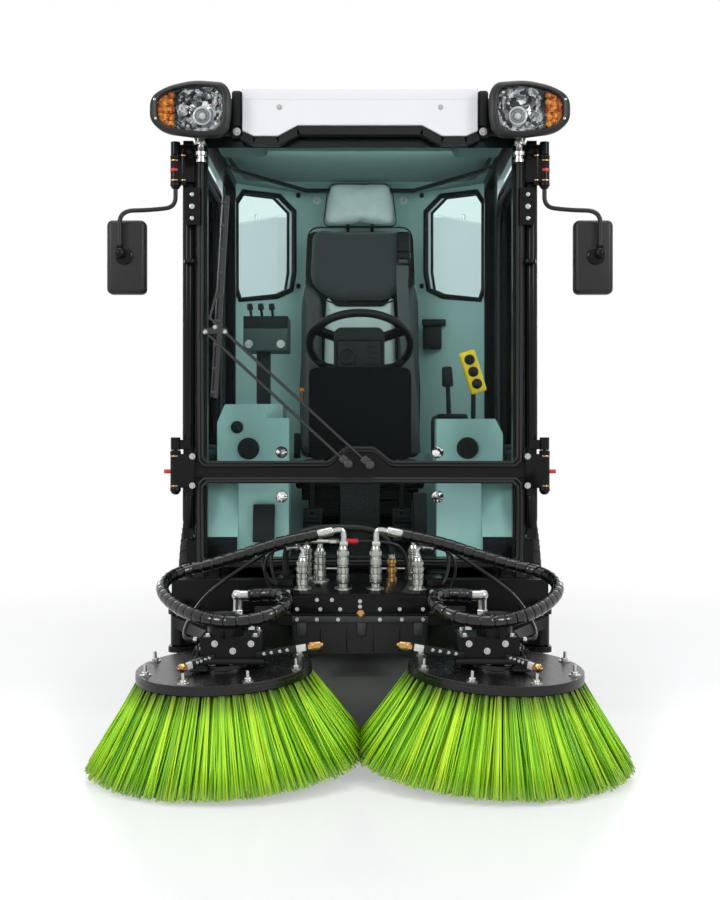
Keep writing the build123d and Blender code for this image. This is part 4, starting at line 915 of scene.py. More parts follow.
# ---- Door hinges, hinge dampers and pillar plates ------------------------------------------------
# Turned black hinge barrels with brass bushes and domed ends, red reflector patches, and the zinc-plated
# screws that hold the hinges and the trim to their pillars.
brass = powder_coat("turned_brass", (0.50, 0.29, 0.11), 0.20, metallic=1.0, mottle=0.12, patch=40, peel=0.02)
red_plastic = powder_coat("red_plastic", (0.62, 0.012, 0.018), 0.30, mottle=0.08, patch=30, peel=0.05)
hinges = bmesh.new()
rings = bmesh.new()
patches = bmesh.new()
screws = bmesh.new()
for side in (-1, 1):
    x = side * 614
    for low, high in ((757, 890), (1772, 1872)):
        up = upright(x, -10, low)
        tall = high - low
        turned_in(hinges, [(0.01, -13), (7, -12), (13, -8), (15, -3), (18, 0), (18, 8), (17.2, 10),
                           (17.2, tall - 12), (18, tall - 10), (18, tall - 1), (15, tall + 2),
                           (10, tall + 2.4)], up, 32)
        for level in (low + 14, high - 20):
            rod_in(rings, (x, -10, level), (x, -10, level + 5), 18.3, sides=32, edge=1)
    rod_in(hinges, (side * 586, -16, 1772), (side * 586, -16, 1885), 11, sides=24, edge=3)
    rod_in(hinges, (side * 586, -16, 1885), (side * 586, -16, 1897), 6, 4, sides=16, edge=2)
    for level in (1786, 1868):
        rod_in(rings, (side * 586, -16, level), (side * 586, -16, level + 5), 11.6, sides=24, edge=1)
    rod_in(patches, (x, -10, 1818), (x, -10, 1828), 18.1, sides=32, edge=1)
    rod_in(patches, (side * 622, -10, 822), (side * 652, -10, 822), 7, sides=20, edge=2)
    rod_in(hinges, (side * 564, -17, 1512), (side * 564, -17, 1526), 21, sides=32, edge=3)
    for x_mid, z, high in ((557, 1741, 6), (557, 1701, 15), (557, 1662, 8)):
        rod_in(screws, (side * x_mid, -22, z), (side * x_mid, -26.5, z), 7 if high < 12 else 9, sides=16,
               edge=1)
    for level in (775, 872):
        hex_bolt(screws, facing(side * 556, -26, level), 11, 8)
put("hinge_barrels", hinges, black_coat, "front", "frame_black", 30)
put("hinge_bushes", rings, brass, "front", "rod_chrome")
put("hinge_patches", patches, red_plastic, "front", "lamp_red")
put("pillar_screws", screws, zinc, "front", "cylinder_steel")

# ---- Visor ---------------------------------------------------------------------------------------
# The white moulded visor is part of the roof. Two screws hold its face, a black gasket runs below it, and
# black end plates carry the lamps' bolts.
trim = bmesh.new()
EDGE = [(-388, 1940), (-350, 1923), (-270, 1923), (-205, 1957), (205, 1957), (270, 1923), (350, 1923),
        (388, 1940)]
for (x0, z0), (x1, z1) in zip(EDGE, EDGE[1:]):
    start, end = at(x0, -36, z0), at(x1, -36, z1)
    along = end - start
    lean = along.to_track_quat("X", "Z").to_matrix().to_4x4()
    middle = (start + end) / 2 - Vector((0, 0, 0.011))
    rib_in(trim, (along.length + 0.004, 0.034, 0.026), Matrix.Translation(middle) @ lean)
for side in (-1, 1):
    box_in(trim, (side * 390, -40, 1925), (side * 428, -8, 2062), 10)
    box_in(trim, (side * 428, -30, 1955), (side * 470, -8, 2030), 8)
put("visor_gasket", trim, dark_trim, "front", "trim_grey")
visor_lip = bmesh.new()
box_in(visor_lip, (-389, -61.5, 2040), (389, -20, 2088), 9, segments=4)
lamp_plates = bmesh.new()
for side in (-1, 1):
    box_in(lamp_plates, (side * 389, -50, 1960), (side * 423, -38, 2078), 9, segments=4)
put("lamp_plates", lamp_plates, dark_trim, "front", "frame_black", 30)
put("visor_lip", visor_lip, body_white, "front", "body_white", 30)
visor_screws = bmesh.new()
for x, z in ((-265, 2020), (265, 2020)):
    hex_bolt(visor_screws, facing(x, -60, z), 10, 5)
for x in (-407, 407):
    hex_bolt(visor_screws, facing(x, -40, 1945), 14, 7)
put("visor_screws", visor_screws, zinc, "front", "cylinder_steel")

# ---- Head lamps ----------------------------------------------------------------------------------
# Each lamp is an egg-shaped black housing with a ring of four screws. A clear lens covers a polished
# reflector with its bulb and a fluted amber turn indicator on the outer side.
LAMP_MIDDLE = (553, 1998)
LAMP_FRONT = -135
clear_lens, clear = thin_glass("clear_lamp_lens", 1.3, 0.03)
clear.inputs["Color"].default_value = (0.96, 0.975, 0.98, 1)
polished = powder_coat("polished_reflector", (0.80, 0.81, 0.82), 0.10, metallic=0.80, mottle=0.15, patch=60,
                       peel=0.2, peel_size=70)
amber = powder_coat("amber_lens", (0.95, 0.27, 0.010), 0.14, mottle=0.35, patch=90, peel=0.4, peel_size=160)
# Painted reflections: the reflector's and the amber lens's base colours are broken into dark and bright
# cells.
painted_reflection_cells(polished, (0.045, 0.047, 0.05), (0.95, 0.96, 0.97), 62)
painted_reflection_cells(amber, (0.42, 0.055, 0.003), (1.0, 0.40, 0.045), 95)
bulb_white = powder_coat("bulb_glass", (0.80, 0.82, 0.83), 0.08, mottle=0.1, patch=60, peel=0.05)
housing_grey = powder_coat("lamp_housing", (0.014, 0.014, 0.0145), 0.40, mottle=0.15, patch=15, peel=0.12,
                           peel_size=900, shine=0.3)


def rounded(points, radius, steps=5):
    """An outline with each corner turned into an arc."""
    outline = []
    for before, corner, after in zip(points[-1:] + points[:-1], points, points[1:] + points[:1]):
        corner_at = Vector(corner)
        to_before = Vector(before) - corner_at
        to_after = Vector(after) - corner_at
        reach = min(radius, to_before.length / 2.1, to_after.length / 2.1)
        start, end = corner_at + to_before.normalized() * reach, corner_at + to_after.normalized() * reach
        for step in range(steps + 1):
            share = step / steps
            point = start.lerp(corner_at, share).lerp(corner_at.lerp(end, share), share)
            outline.append((point.x, point.y))
    return outline


# The lamp's outline about its middle: outward, up.
LAMP_OUTLINE = rounded([
    (127, 40), (128, -40), (84, -76), (-40, -92), (-116, -86), (-134, -34), (-134, 56), (-112, 86), (-14, 93),
    (70, 74),
], 34, 6)


def egg(side, scale_x, scale_z):
    """The lamp's outline: tall and blunt on the inner side, drawn in on the outer side."""
    return [(side * (LAMP_MIDDLE[0] + x * scale_x), LAMP_MIDDLE[1] + z * scale_z) for x, z in LAMP_OUTLINE]


def bridge(shape, rings):
    """Faces from each ring of corners to the next."""
    for near, far_ring in zip(rings, rings[1:]):
        for number in range(len(near)):
            after = (number + 1) % len(near)
            shape.faces.new((near[number], near[after], far_ring[after], far_ring[number]))


def skin(shape, loops, close_first=False, close_last=False):
    """Bridges a run of outlines, each with its own depth, into one smooth skin."""
    rings = [[shape.verts.new(at(x, y, z)) for x, z in outline] for outline, y in loops]
    bridge(shape, rings)
    if close_first:
        shape.faces.new(rings[0])
    if close_last:
        shape.faces.new(rings[-1])


housing = bmesh.new()
lens = bmesh.new()
reflector = bmesh.new()
indicator = bmesh.new()
bulbs = bmesh.new()
stems = bmesh.new()
for side in (-1, 1):
    skin(housing, [
        (egg(side, 0.80, 0.79), LAMP_FRONT + 12), (egg(side, 0.83, 0.82), LAMP_FRONT + 2),
        (egg(side, 0.86, 0.85), LAMP_FRONT), (egg(side, 0.95, 0.94), LAMP_FRONT + 3),
        (egg(side, 1.0, 1.0), LAMP_FRONT + 10), (egg(side, 1.0, 1.0), LAMP_FRONT + 30),
        (egg(side, 0.97, 0.96), LAMP_FRONT + 52), (egg(side, 0.86, 0.82), LAMP_FRONT + 82),
        (egg(side, 0.64, 0.58), LAMP_FRONT + 102), (egg(side, 0.40, 0.36), LAMP_FRONT + 110),
    ], close_last=True)
    skin(lens, [
        (egg(side, 0.81, 0.80), LAMP_FRONT + 6), (egg(side, 0.70, 0.69), LAMP_FRONT + 2.5),
        (egg(side, 0.40, 0.36), LAMP_FRONT + 0.6), (egg(side, 0.10, 0.09), LAMP_FRONT + 0.2),
    ], close_last=True)
    # The reflector's bowl, with fluted facets, behind the inner two thirds of the lens.
    bowl_x, bowl_z = side * 519, LAMP_MIDDLE[1]
    bowls = []
    for reach, deep in ((1.0, 14), (0.97, 24), (0.82, 42), (0.62, 58), (0.42, 68), (0.24, 72)):
        outline = []
        for number in range(64):
            turn = 2 * pi * number / 64
            flute = 1 + 0.10 * cos(turn * 16) * (1 - reach)
            x = bowl_x + side * 77 * reach * flute * (abs(cos(turn)) ** 0.75) * (1 if cos(turn) > 0 else -1)
            z = bowl_z + 75 * reach * flute * (abs(sin(turn)) ** 0.75) * (1 if sin(turn) > 0 else -1)
            outline.append((x, z))
        bowls.append((outline, LAMP_FRONT + deep))
    skin(reflector, bowls, close_last=True)
    skin(reflector, [(egg(side, 0.81, 0.80), LAMP_FRONT + 12), (egg(side, 0.79, 0.77), LAMP_FRONT + 30),
                     (egg(side, 0.5, 0.45), LAMP_FRONT + 76)], close_last=True)
    eye = facing(side * 517, LAMP_FRONT + 66, 1988)
    turned_in(bulbs, [(29, -4), (31, 8), (29, 11), (26, 12), (24, 8), (24, 0), (29, -4)], eye, 40)
    turned_in(stems, [(22, -4), (22, 5), (18, 8), (14, 5), (14, -4), (22, -4)], eye, 32)
    turned_in(bulbs, [(0.01, 20), (4, 19), (9, 14), (12, 6), (12, -4), (0.01, -4)], eye, 32)
    for x, z, small in ((side * 470, 2040, 5), (side * 560, 1948, 6)):
        spot = facing(x, LAMP_FRONT + 34, z)
        turned_in(bulbs, [(0.01, small), (small * 0.6, small * 0.8), (small, 0), (0.01, 0)], spot, 20)
    for row in range(5):
        for column in range(3):
            x = side * (612 + column * 18)
            z = LAMP_MIDDLE[1] + (row - 2) * (24 - column * 4)
            spot = facing(x, LAMP_FRONT + 18 + column * 2, z)
            turned_in(indicator, [(0.01, 9), (6, 7.5), (11, 3), (12.5, -6), (0.01, -6)], spot, 8)
    front_edge = [(side * (607 + 50 * (0.5 - 0.5 * cos(pi * n / 11))), LAMP_MIDDLE[1] + 66 - 5 * n)
                  for n in range(12)]
    front_edge += [(side * 607, LAMP_MIDDLE[1] - 62 + 11 * n) for n in range(12)]
    back_edge = [(side * 655, LAMP_MIDDLE[1] + 42 - 7 * n) for n in range(12)]
    back_edge += [(side * 607, LAMP_MIDDLE[1] - 60 + 11 * n) for n in range(12)]
    skin(indicator, [(front_edge, LAMP_FRONT + 26), (back_edge, LAMP_FRONT + 40)])
    for turn in (0.36, 2.45, 3.85, 5.85):
        x = LAMP_MIDDLE[0] + 118 * cos(turn)
        z = LAMP_MIDDLE[1] + 80 * sin(turn)
        rod_in(stems, (side * x, LAMP_FRONT + 4, z), (side * x, LAMP_FRONT - 1, z), 4.5, sides=12, edge=0.8)
    up = upright(side * 522, -62, 1838)
    turned_in(stems, [(0.01, 0), (17, 0), (17, 9), (13, 11), (13, 20), (19, 22), (19, 34), (13, 36), (11, 40),
                      (11, 56), (17, 58), (17, 68), (13, 70), (13, 96), (0.01, 96)], up, 24)
put("lamp_housings", housing, housing_grey, "front", None, 40, "headlamps")
put("lamp_lenses", lens, clear_lens, "front", "tinted_glass")
put("lamp_reflectors", reflector, polished, "front", "rod_chrome", 25)
put("lamp_bulbs", bulbs, bulb_white, "front", "rod_chrome")
put("turn_indicators", indicator, amber, "front", "lamp_red", 30)
put("lamp_stems", stems, zinc, "front", "cylinder_steel", 30)

# ---- Mirrors -------------------------------------------------------------------------------------
# Bent black arms from the hinge barrels carry moulded heads with rounded corners. The front shows the
# head's domed back with its ball clamp, and the glass faces the driver.
MIRROR_X = 772
mirror_glass = powder_coat("mirror_silver", (0.78, 0.80, 0.82), 0.03, metallic=1.0, mottle=0.02, patch=4,
                           peel=0.0)
heads = bmesh.new()
clamps = bmesh.new()
panes = bmesh.new()
for side in (-1, 1):
    low = (side * (MIRROR_X - 64), -52, 1409)
    high = (side * (MIRROR_X + 64), -14, 1652)
    box_in(heads, low, high, 17, segments=5)
    corners = [(614, 1770), (614, 1702), (700, 1688), (789, 1678), (789, 1550)]
    path = [corners[0]]
    for before, corner, after in zip(corners, corners[1:], corners[2:]):
        near, far_side = Vector(before) - Vector(corner), Vector(after) - Vector(corner)
        cut_back = min(46, near.length / 2.05, far_side.length / 2.05)
        entry = Vector(corner) + near.normalized() * cut_back
        leave = Vector(corner) + far_side.normalized() * cut_back
        for step in range(9):
            share = step / 8
            path.append(entry.lerp(Vector(corner), share).lerp(Vector(corner).lerp(leave, share), share))
    path.append(corners[-1])
    bead_in(heads, [(side * x, -10 - 60 * max(0, min(1, (x - 620) / 165)) ** 1.6, z) for x, z in path], 7.5,
            16, closed=False)
    box_in(heads, (side * (MIRROR_X - 64.5), -30, 1408.5), (side * (MIRROR_X + 64.5), -18, 1652.5), 18,
           segments=5)
    socket = facing(side * 777, -50, 1533)
    turned_in(clamps, [(0.01, 12), (14, 11), (26, 7), (32, 1), (33, -4), (0.01, -4)], socket, 36)
    bmesh.ops.create_uvsphere(clamps, u_segments=28, v_segments=18, radius=0.0195,
                              matrix=upright(side * 788, -71, 1539))
    turned_in(clamps, [(11, -4), (12, 2), (10, 5), (8, 5)], upright(side * 789, -70, 1561), 24)
    box_in(panes, (side * (MIRROR_X - 55), -15, 1420), (side * (MIRROR_X + 55), -12, 1641), 8, segments=4)
put("mirror_heads", heads, housing_grey, "front", None, 35, "mirrors")
put("mirror_clamps", clamps, black_coat, "front", "frame_black", 30)
put("mirror_panes", panes, mirror_glass, "front", "rod_chrome")

# ---- Wiper ---------------------------------------------------------------------------------------
# The joints of the wiper in dark polished steel: caps over the two spindles on the hump, pins between the
# arms, and the blade's rubber with its claws and spring bridge.
wiper_parts = bmesh.new()
wiper_zinc = bmesh.new()
for x, z in ((-39, 846), (33, 843)):
    face_on = facing(x, -38, z)
    turned_in(wiper_parts, [(17, -22), (17, 2), (14, 7), (6, 10), (0.01, 10), (0.01, -22), (17, -22)],
              face_on, 28)
    box_in(wiper_parts, (x - 30, -38, z - 2), (x + 8, -26, z + 26), 5, Matrix.Rotation(radians(42), 4, "Y"))
for x, z in ((-447, 1284), (-512, 1284), (-480, 1300)):
    face_on = facing(x, -32, z)
    turned_in(wiper_zinc, [(0.01, 5), (6, 4), (9, 0), (9, -4), (0.01, -4)], face_on, 20)
for step in range(9):
    share = step / 8
    x, z = -486 + 36 * share, 1085 + 630 * share
    box_in(wiper_parts, (x - 9, -30, z - 5), (x + 9, -14, z + 5), 2)
bead_in(wiper_parts, [(-493, -13, 1070), (-455, -13, 1735)], 4, 8, closed=False)
bead_in(wiper_parts, [(-470, -26, 1300), (-497, -36, 1330), (-478, -36, 1400), (-474, -26, 1420)], 4.5, 8,
        closed=False)
wiper_steel = powder_coat("wiper_steel", (0.060, 0.060, 0.062), 0.28, metallic=0.7, mottle=0.2, patch=40,
                          peel=0.02)
put("wiper_joints", wiper_parts, wiper_steel, "front", "frame_black")
put("wiper_pins", wiper_zinc, zinc, "front", "cylinder_steel")

# ---- Coupling box and quick couplers -------------------------------------------------------------
# A black machined manifold with a row of zinc-plated quick couplers, each on its own flange. Crimped
# elbows and ferrules join the hoses, red sleeves mark the lines, and brass caps close the spare ports.
coupler_zinc = powder_coat("coupler_zinc", (0.42, 0.435, 0.40), 0.20, metallic=1.0, mottle=0.16, patch=70,
                           peel=0.06, peel_size=500)
manifold = bmesh.new()
box_in(manifold, (-202, -400, 394), (202, -130, 452), 2)
MANIFOLD_SLOPE = radians(8.6)
slope = Matrix.Rotation(MANIFOLD_SLOPE, 4, "X")
box_in(manifold, (-202, -397, 440), (202, -135, 478), 2, slope)
box_in(manifold, (-202, -150, 394), (202, -130, 495), 1)
for side in (-1, 1):
    box_in(manifold, (side * 206, -330, 396), (side * 255, -200, 470), 4)
    box_in(manifold, (side * 150, -396, 392), (side * 256, -200, 398), 1)
    box_in(manifold, (side * 206, -330, 470), (side * 255, -324, 498), 1.5)
    box_in(manifold, (side * 206, -206, 470), (side * 255, -200, 498), 1.5)
    box_in(manifold, (side * 206, -330, 492), (side * 255, -200, 498), 1.5)
box_in(manifold, (-202, -404, 392), (202, -398, 398), 1)
for x in (-150, -50, 50, 150):
    rod_in(manifold, (x + 20, -300, 470), (x + 20, -300, 479), 9, sides=20, edge=1)
for x in (70, 92, 115):
    rod_in(manifold, (x, -352, 462), (x, -352, 466), 8, sides=20, edge=1)
put("manifold", manifold, black_coat, "front", None, 30, "coupling_box")
clamp_bar = bmesh.new()
box_in(clamp_bar, (-204, -409, 372), (204, -401, 391), 1.5)
for x in (-176, 4, 176):
    box_in(clamp_bar, (x - 15, -407, 330), (x + 15, -401, 374), 5)
bar_grey = powder_coat("clamp_bar_paint", (0.030, 0.031, 0.033), 0.34, mottle=0.2, patch=12, peel=0.03,
                       shine=0.35)
put("curtain_clamp_bar", clamp_bar, bar_grey, "front", "frame_black", 30)
# x, y, height of the flange, height of the top
COUPLERS = [
    (-52, -330, 463, 597), (48, -330, 463, 597), (-125, -250, 480, 585), (-177, -330, 463, 561),
    (-170, -200, 485, 591), (177, -330, 463, 561), (170, -200, 485, 591),
]
couplers = bmesh.new()
flanges = bmesh.new()
for x, y, low, high in COUPLERS:
    up = upright(x, y, low)
    tall = high - low
    scale = tall / 134
    turned_in(couplers, [
        (0.01, 0), (19.5, 0), (19.5, 6 * scale), (16, 8 * scale), (16, 18 * scale), (18.6, 20 * scale),
        (19.5, 22 * scale), (19.5, 44 * scale), (17.5, 46 * scale), (17.5, 49 * scale), (19.2, 51 * scale),
        (19.2, 68 * scale), (15.5, 71 * scale), (15.5, 76 * scale), (18.8, 78 * scale), (18.8, 96 * scale),
        (16, 99 * scale), (16, 104 * scale), (19, 106 * scale), (19, 120 * scale), (15, 122 * scale),
        (14, tall - 6), (12, tall), (0.01, tall),
    ], up, 36)
    for level in range(26, 44, 4):
        turned_in(couplers, [(19.4, level * scale), (20.1, (level + 1) * scale), (19.4, (level + 2) * scale)],
                  up, 36)
    nut_place = up @ Matrix.Translation((0, 0, 0.113 * scale))
    bmesh.ops.create_cone(couplers, cap_ends=True, segments=6, radius1=0.0205, radius2=0.0205,
                          depth=0.012 * scale, matrix=nut_place)
    lean = slope if y < -140 else Matrix.Identity(4)
    seat = upright(x, y, low + 1.5) @ lean
    turned_in(flanges, [(0.01, -3), (29, -3), (29, 3), (27, 5), (21, 5), (21, 6.5), (0.01, 6.5)], seat, 36)
    bmesh.ops.create_cone(flanges, cap_ends=True, segments=24, radius1=0.022, radius2=0.021, depth=0.007,
                          matrix=seat @ Matrix.Translation((0, -0.016, 0.0002)))
put("quick_couplers", couplers, coupler_zinc, "front", "cylinder_steel", 28)
put("coupler_flanges", flanges, zinc, "front", "cylinder_steel", 30)
fittings = bmesh.new()
sleeves = bmesh.new()
coupler_line = powder_coat("coupler_line_rubber", (0.006, 0.006, 0.0065), 0.30, mottle=0.2, patch=25,
                           peel=0.04, peel_size=700, shine=0.4)
brass_caps = bmesh.new()
for side in (-1, 1):
    x = side * 50
    bead_in(fittings, [(x, -330, 594), (x, -330, 632), (side * 52, -330, 642), (side * 58, -330.6, 648),
                       (side * 68, -331.6, 648), (side * 100, -335, 640)], 9, 12, closed=False)
    rod_in(fittings, (x, -330, 597), (x, -330, 612), 14, sides=6, edge=1.5)
    rod_in(fittings, (side * 84, -333.3, 643.6), (side * 131, -338.2, 634), 15.5, sides=28, edge=2.5)
    for share in (0.25, 0.5, 0.75):
        rod_in(fittings, (side * (84 + 47 * share - 1.2), -333.3 - 4.9 * share, 643.8 - 9.6 * share),
               (side * (84 + 47 * share + 1.2), -333.5 - 4.9 * share, 643.4 - 9.6 * share), 16, sides=28,
               edge=0.5)
    for y, top, out, rise in ((-330, 561, 30, 18), (-200, 591, 34, 14)):
        px = side * (177 if y < -300 else 170)
        if y < -300:
            rod_in(fittings, (px, y, top - 2), (px, y, top + 14), 9, sides=20, edge=1.5)
            rod_in(fittings, (px, y, top), (px, y, top + 6), 12, sides=6, edge=1)
            bead_in(fittings, [(px, y, top + 8), (px, y + 1, top + 24), (px + side * 6, y + 3, top + 33),
                               (px + side * 24, y + 8, top + 33)], 6, 12, closed=False)
            rod_in(fittings, (px + side * 14, y + 6, top + 33), (px + side * 48, y + 14, top + 31), 10.5,
                   sides=24, edge=2)
            hose("coupler_line_front_" + ("left" if side < 0 else "right"), [
                (px + side * 47, y + 14, top + 31), (px + side * 86, y + 24, top + 26),
                (px + side * 114, y + 38, top - 2), (px + side * 122, y + 48, top - 52),
                (px + side * 104, y + 54, top - 98), (px + side * 77, y + 58, top - 114)], 5, coupler_line,
                 None, ("front",), 10, 4)
        else:
            hose("coupler_line_rear_" + ("left" if side < 0 else "right"), [
                (px + side * 36, y + 1, top + 19), (px + side * 88, y + 5, top + 14),
                (px + side * 110, y + 4, top - 24), (px + side * 112, y, top - 72),
                (px + side * 100, y - 12, top - 112), (px + side * 84, y - 24, top - 128)],
                5, coupler_line, None, ("front",), 10, 4)
            bead_in(fittings, [(px, y, top - 4), (px, y, top + 12), (px + side * 4, y, top + 18),
                               (px + side * 12, y, top + 21), (px + side * 28, y + 1, top + 20)], 7, 10,
                    closed=False)
            rod_in(fittings, (px + side * 24, y + 1, top + 20), (px + side * 52, y + 2, top + 18), 10,
                   sides=24, edge=2)
            bead_in(sleeves, [(px + side * 52, y + 2, top + 18), (px + side * 66, y + 3, top + 15)], 9.5, 12,
                    closed=False)
rod_in(fittings, (-125, -250, 583), (-125, -250, 600), 9, sides=20, edge=1.5)
rod_in(fittings, (100, -240, 548), (100, -240, 566), 11, sides=6, edge=1.5)
rod_in(fittings, (-230, -215, 470), (-230, -215, 482), 12, sides=6, edge=1.5)
rod_in(fittings, (-189, -262, 607), (-96, -262, 607), 6.6, sides=24, edge=1)
rod_in(fittings, (-96, -262, 607), (-66, -262, 607), 9.5, sides=6, edge=2)
put("hose_fittings", fittings, zinc, "front", "cylinder_steel", 30)
for x in (-210, -27):
    bead_in(sleeves, [(x - 21, -262, 607), (x + 21, -262, 607)], 8.5, 16, closed=False)
hose("marked_line", [(-254, -240, 468), (-284, -234, 478), (-306, -228, 520), (-304, -236, 574),
                     (-276, -254, 604), (-232, -262, 607), (-100, -262, 607), (0, -262, 607), (60, -262, 606),
                     (116, -255, 598), (142, -240, 566), (148, -232, 520), (148, -230, 480)],
     5.5, coupler_line, None, ("front",), 12, 4)
put("line_sleeves", sleeves, red_plastic, "front", "lamp_red")
up = upright(100, -240, 480)
turned_in(brass_caps, [(0.01, 0), (19, 0), (19, 12), (13, 15), (13, 26), (17, 29), (17, 44), (12, 48),
                       (12, 56), (16, 58), (16, 68), (11, 72), (0.01, 72)], up, 32)
face_on = facing(2, -404, 398)
turned_in(brass_caps, [(0.01, 14), (5, 14), (5, 9), (9, 8), (9, 3), (12, 2), (12, -4), (0.01, -4)], face_on,
          24)
put("brass_caps", brass_caps, brass, "front", "rod_chrome", 30)
small_bolts = bmesh.new()
for x, z in ((-190, 412), (-120, 412), (-60, 412), (60, 412), (120, 412), (190, 412), (-130, 440), (-85, 440),
             (0, 436), (0, 420), (-190, 382), (-130, 382), (-66, 382), (60, 382), (126, 382), (190, 382)):
    spot = facing(x, -409 if z < 390 else -401, z)
    hex_bolt(small_bolts, spot, 6.4, 5)
for side in (-1, 1):
    for x, z in ((222, 410), (240, 410), (222, 456), (240, 456)):
        hex_bolt(small_bolts, facing(side * x, -330, z), 8, 5)
put("manifold_bolts", small_bolts, zinc, "front", "cylinder_steel")

# ---- Brush arm fittings and water jets -----------------------------------------------------------
# On each motor block: screw heads, the elbow to the motor, two water jets in black clamp strips with
# white blocks and brass nozzles, a wing knob and the pivot's grease cap.
white_block = powder_coat("white_nylon", (0.62, 0.62, 0.60), 0.5, mottle=0.06, patch=30, peel=0.15)
for side, word in SIDES:
    body = "brush_arm_" + word
    clamps = bmesh.new()
    blocks = bmesh.new()
    nozzles = bmesh.new()
    heads = bmesh.new()
    metal = bmesh.new()
    # from, to: the two jets, outward on the far side and inward beside the curtain
    for start, end in (((side * 408, -748, 322), (side * 488, -800, 300)),
                       ((side * 276, -748, 330), (side * 108, -766, 360))):
        first, last = Vector(start), Vector(end)
        run = last - first
        turn = run.to_track_quat("X", "Z").to_matrix().to_4x4()
        middle_point = first + run * 0.28
        half = run.length * 0.30
        box_in(clamps, middle_point - Vector((half + 6, 10, 10)), middle_point + Vector((half + 6, 10, 10)),
               3, turn)
        middle_point = first + run * 0.68
        box_in(blocks, middle_point - Vector((14, 8, 9)), middle_point + Vector((14, 8, 9)), 2, turn)
        for share in (0.08, 0.20, 0.34, 0.46):
            spot = facing(*(first + run * share), turn=70)
            hex_bolt(heads, spot @ Matrix.Translation((0, 0, 0.0095)), 6, 4)
        tip = first + run * 0.80
        rod_in(nozzles, tip, tip + run.normalized() * 14, 11, sides=6, edge=1)
        rod_in(nozzles, tip + run.normalized() * 14, last + run.normalized() * 2, 12.5, 10, sides=24,
               edge=1.5)
        rod_in(nozzles, last, last + run.normalized() * 8, 6, 4, sides=16, edge=1)
    for x, z in ((300, 360), (350, 340), (400, 360)):
        hex_bolt(heads, facing(side * x, -745, z), 10, 6)
    for x, y in ((290, -728), (420, -728), (290, -615), (420, -615)):
        hex_bolt(heads, upright(side * x, y, 378), 13, 9)
    box_in(clamps, (side * 262, -770, 306), (side * 448, -742, 320), 3)
    box_in(clamps, (side * 415, -800, 292), (side * 462, -730, 298), 2)
    bead_in(metal, [(side * 347, -632, 440), (side * 347, -632, 468), (side * 344, -632, 477),
                    (side * 337, -632, 480), (side * 322, -632, 480)], 8, 12, closed=False)
    rod_in(metal, (side * 347, -632, 402), (side * 347, -632, 440), 16, sides=6, edge=2)
    rod_in(metal, (side * 347, -632, 440), (side * 347, -632, 448), 12, sides=24, edge=1.5)
    rod_in(metal, (side * 340, -632, 480), (side * 300, -632, 480), 14.8, sides=28, edge=2)
    rod_in(metal, (side * 440, -641, 355), (side * 472, -641, 355), 8.5, sides=24, edge=1.5)
    wing = upright(side * 452, -690, 312)
    turned_in(clamps, [(0.01, 20), (5, 20), (7, 14), (7, 6), (12, 4), (12, 0), (0.01, 0)], wing, 20)
    for flip in (-1, 1):
        box_in(clamps, (side * 452 + flip * 5 - 3, -692, 322), (side * 452 + flip * 17 + 3, -688, 336), 2,
               Matrix.Rotation(radians(-flip * 30), 4, "Y"))
    turned_in(metal, [(0.01, 10), (6, 9), (8, 4), (18, 3), (18, -2), (0.01, -2)],
              upright(side * 560, -250, 376), 24)
    turned_in(clamps, [(46.6, -30), (47.5, -28), (47.5, -22), (46.6, -20), (46.6, -3), (44, 2), (30, 4),
                       (28, 9), (0.01, 9)],
              upright(side * BRUSH_PLACE[0], BRUSH_PLACE[1], 432), 48)
    put("jet_clamps_" + word, clamps, dark_trim, body, "console_black")
    put("jet_blocks_" + word, blocks, white_block, body, "body_white")
    put("jet_nozzles_" + word, nozzles, brass, body, "rod_chrome")
    put("arm_bolts_" + word, heads, zinc, body, "cylinder_steel")
    put("arm_fittings_" + word, metal, zinc, body, "cylinder_steel", 30)

# ---- Driver's seat -------------------------------------------------------------------------------
# A sprung seat with a charcoal woven upper panel, pale grey lower panel and head rest, and dark side
# bolsters. Each is a foam pad in its own cover, swollen against its seams, in a dark moulded shell.


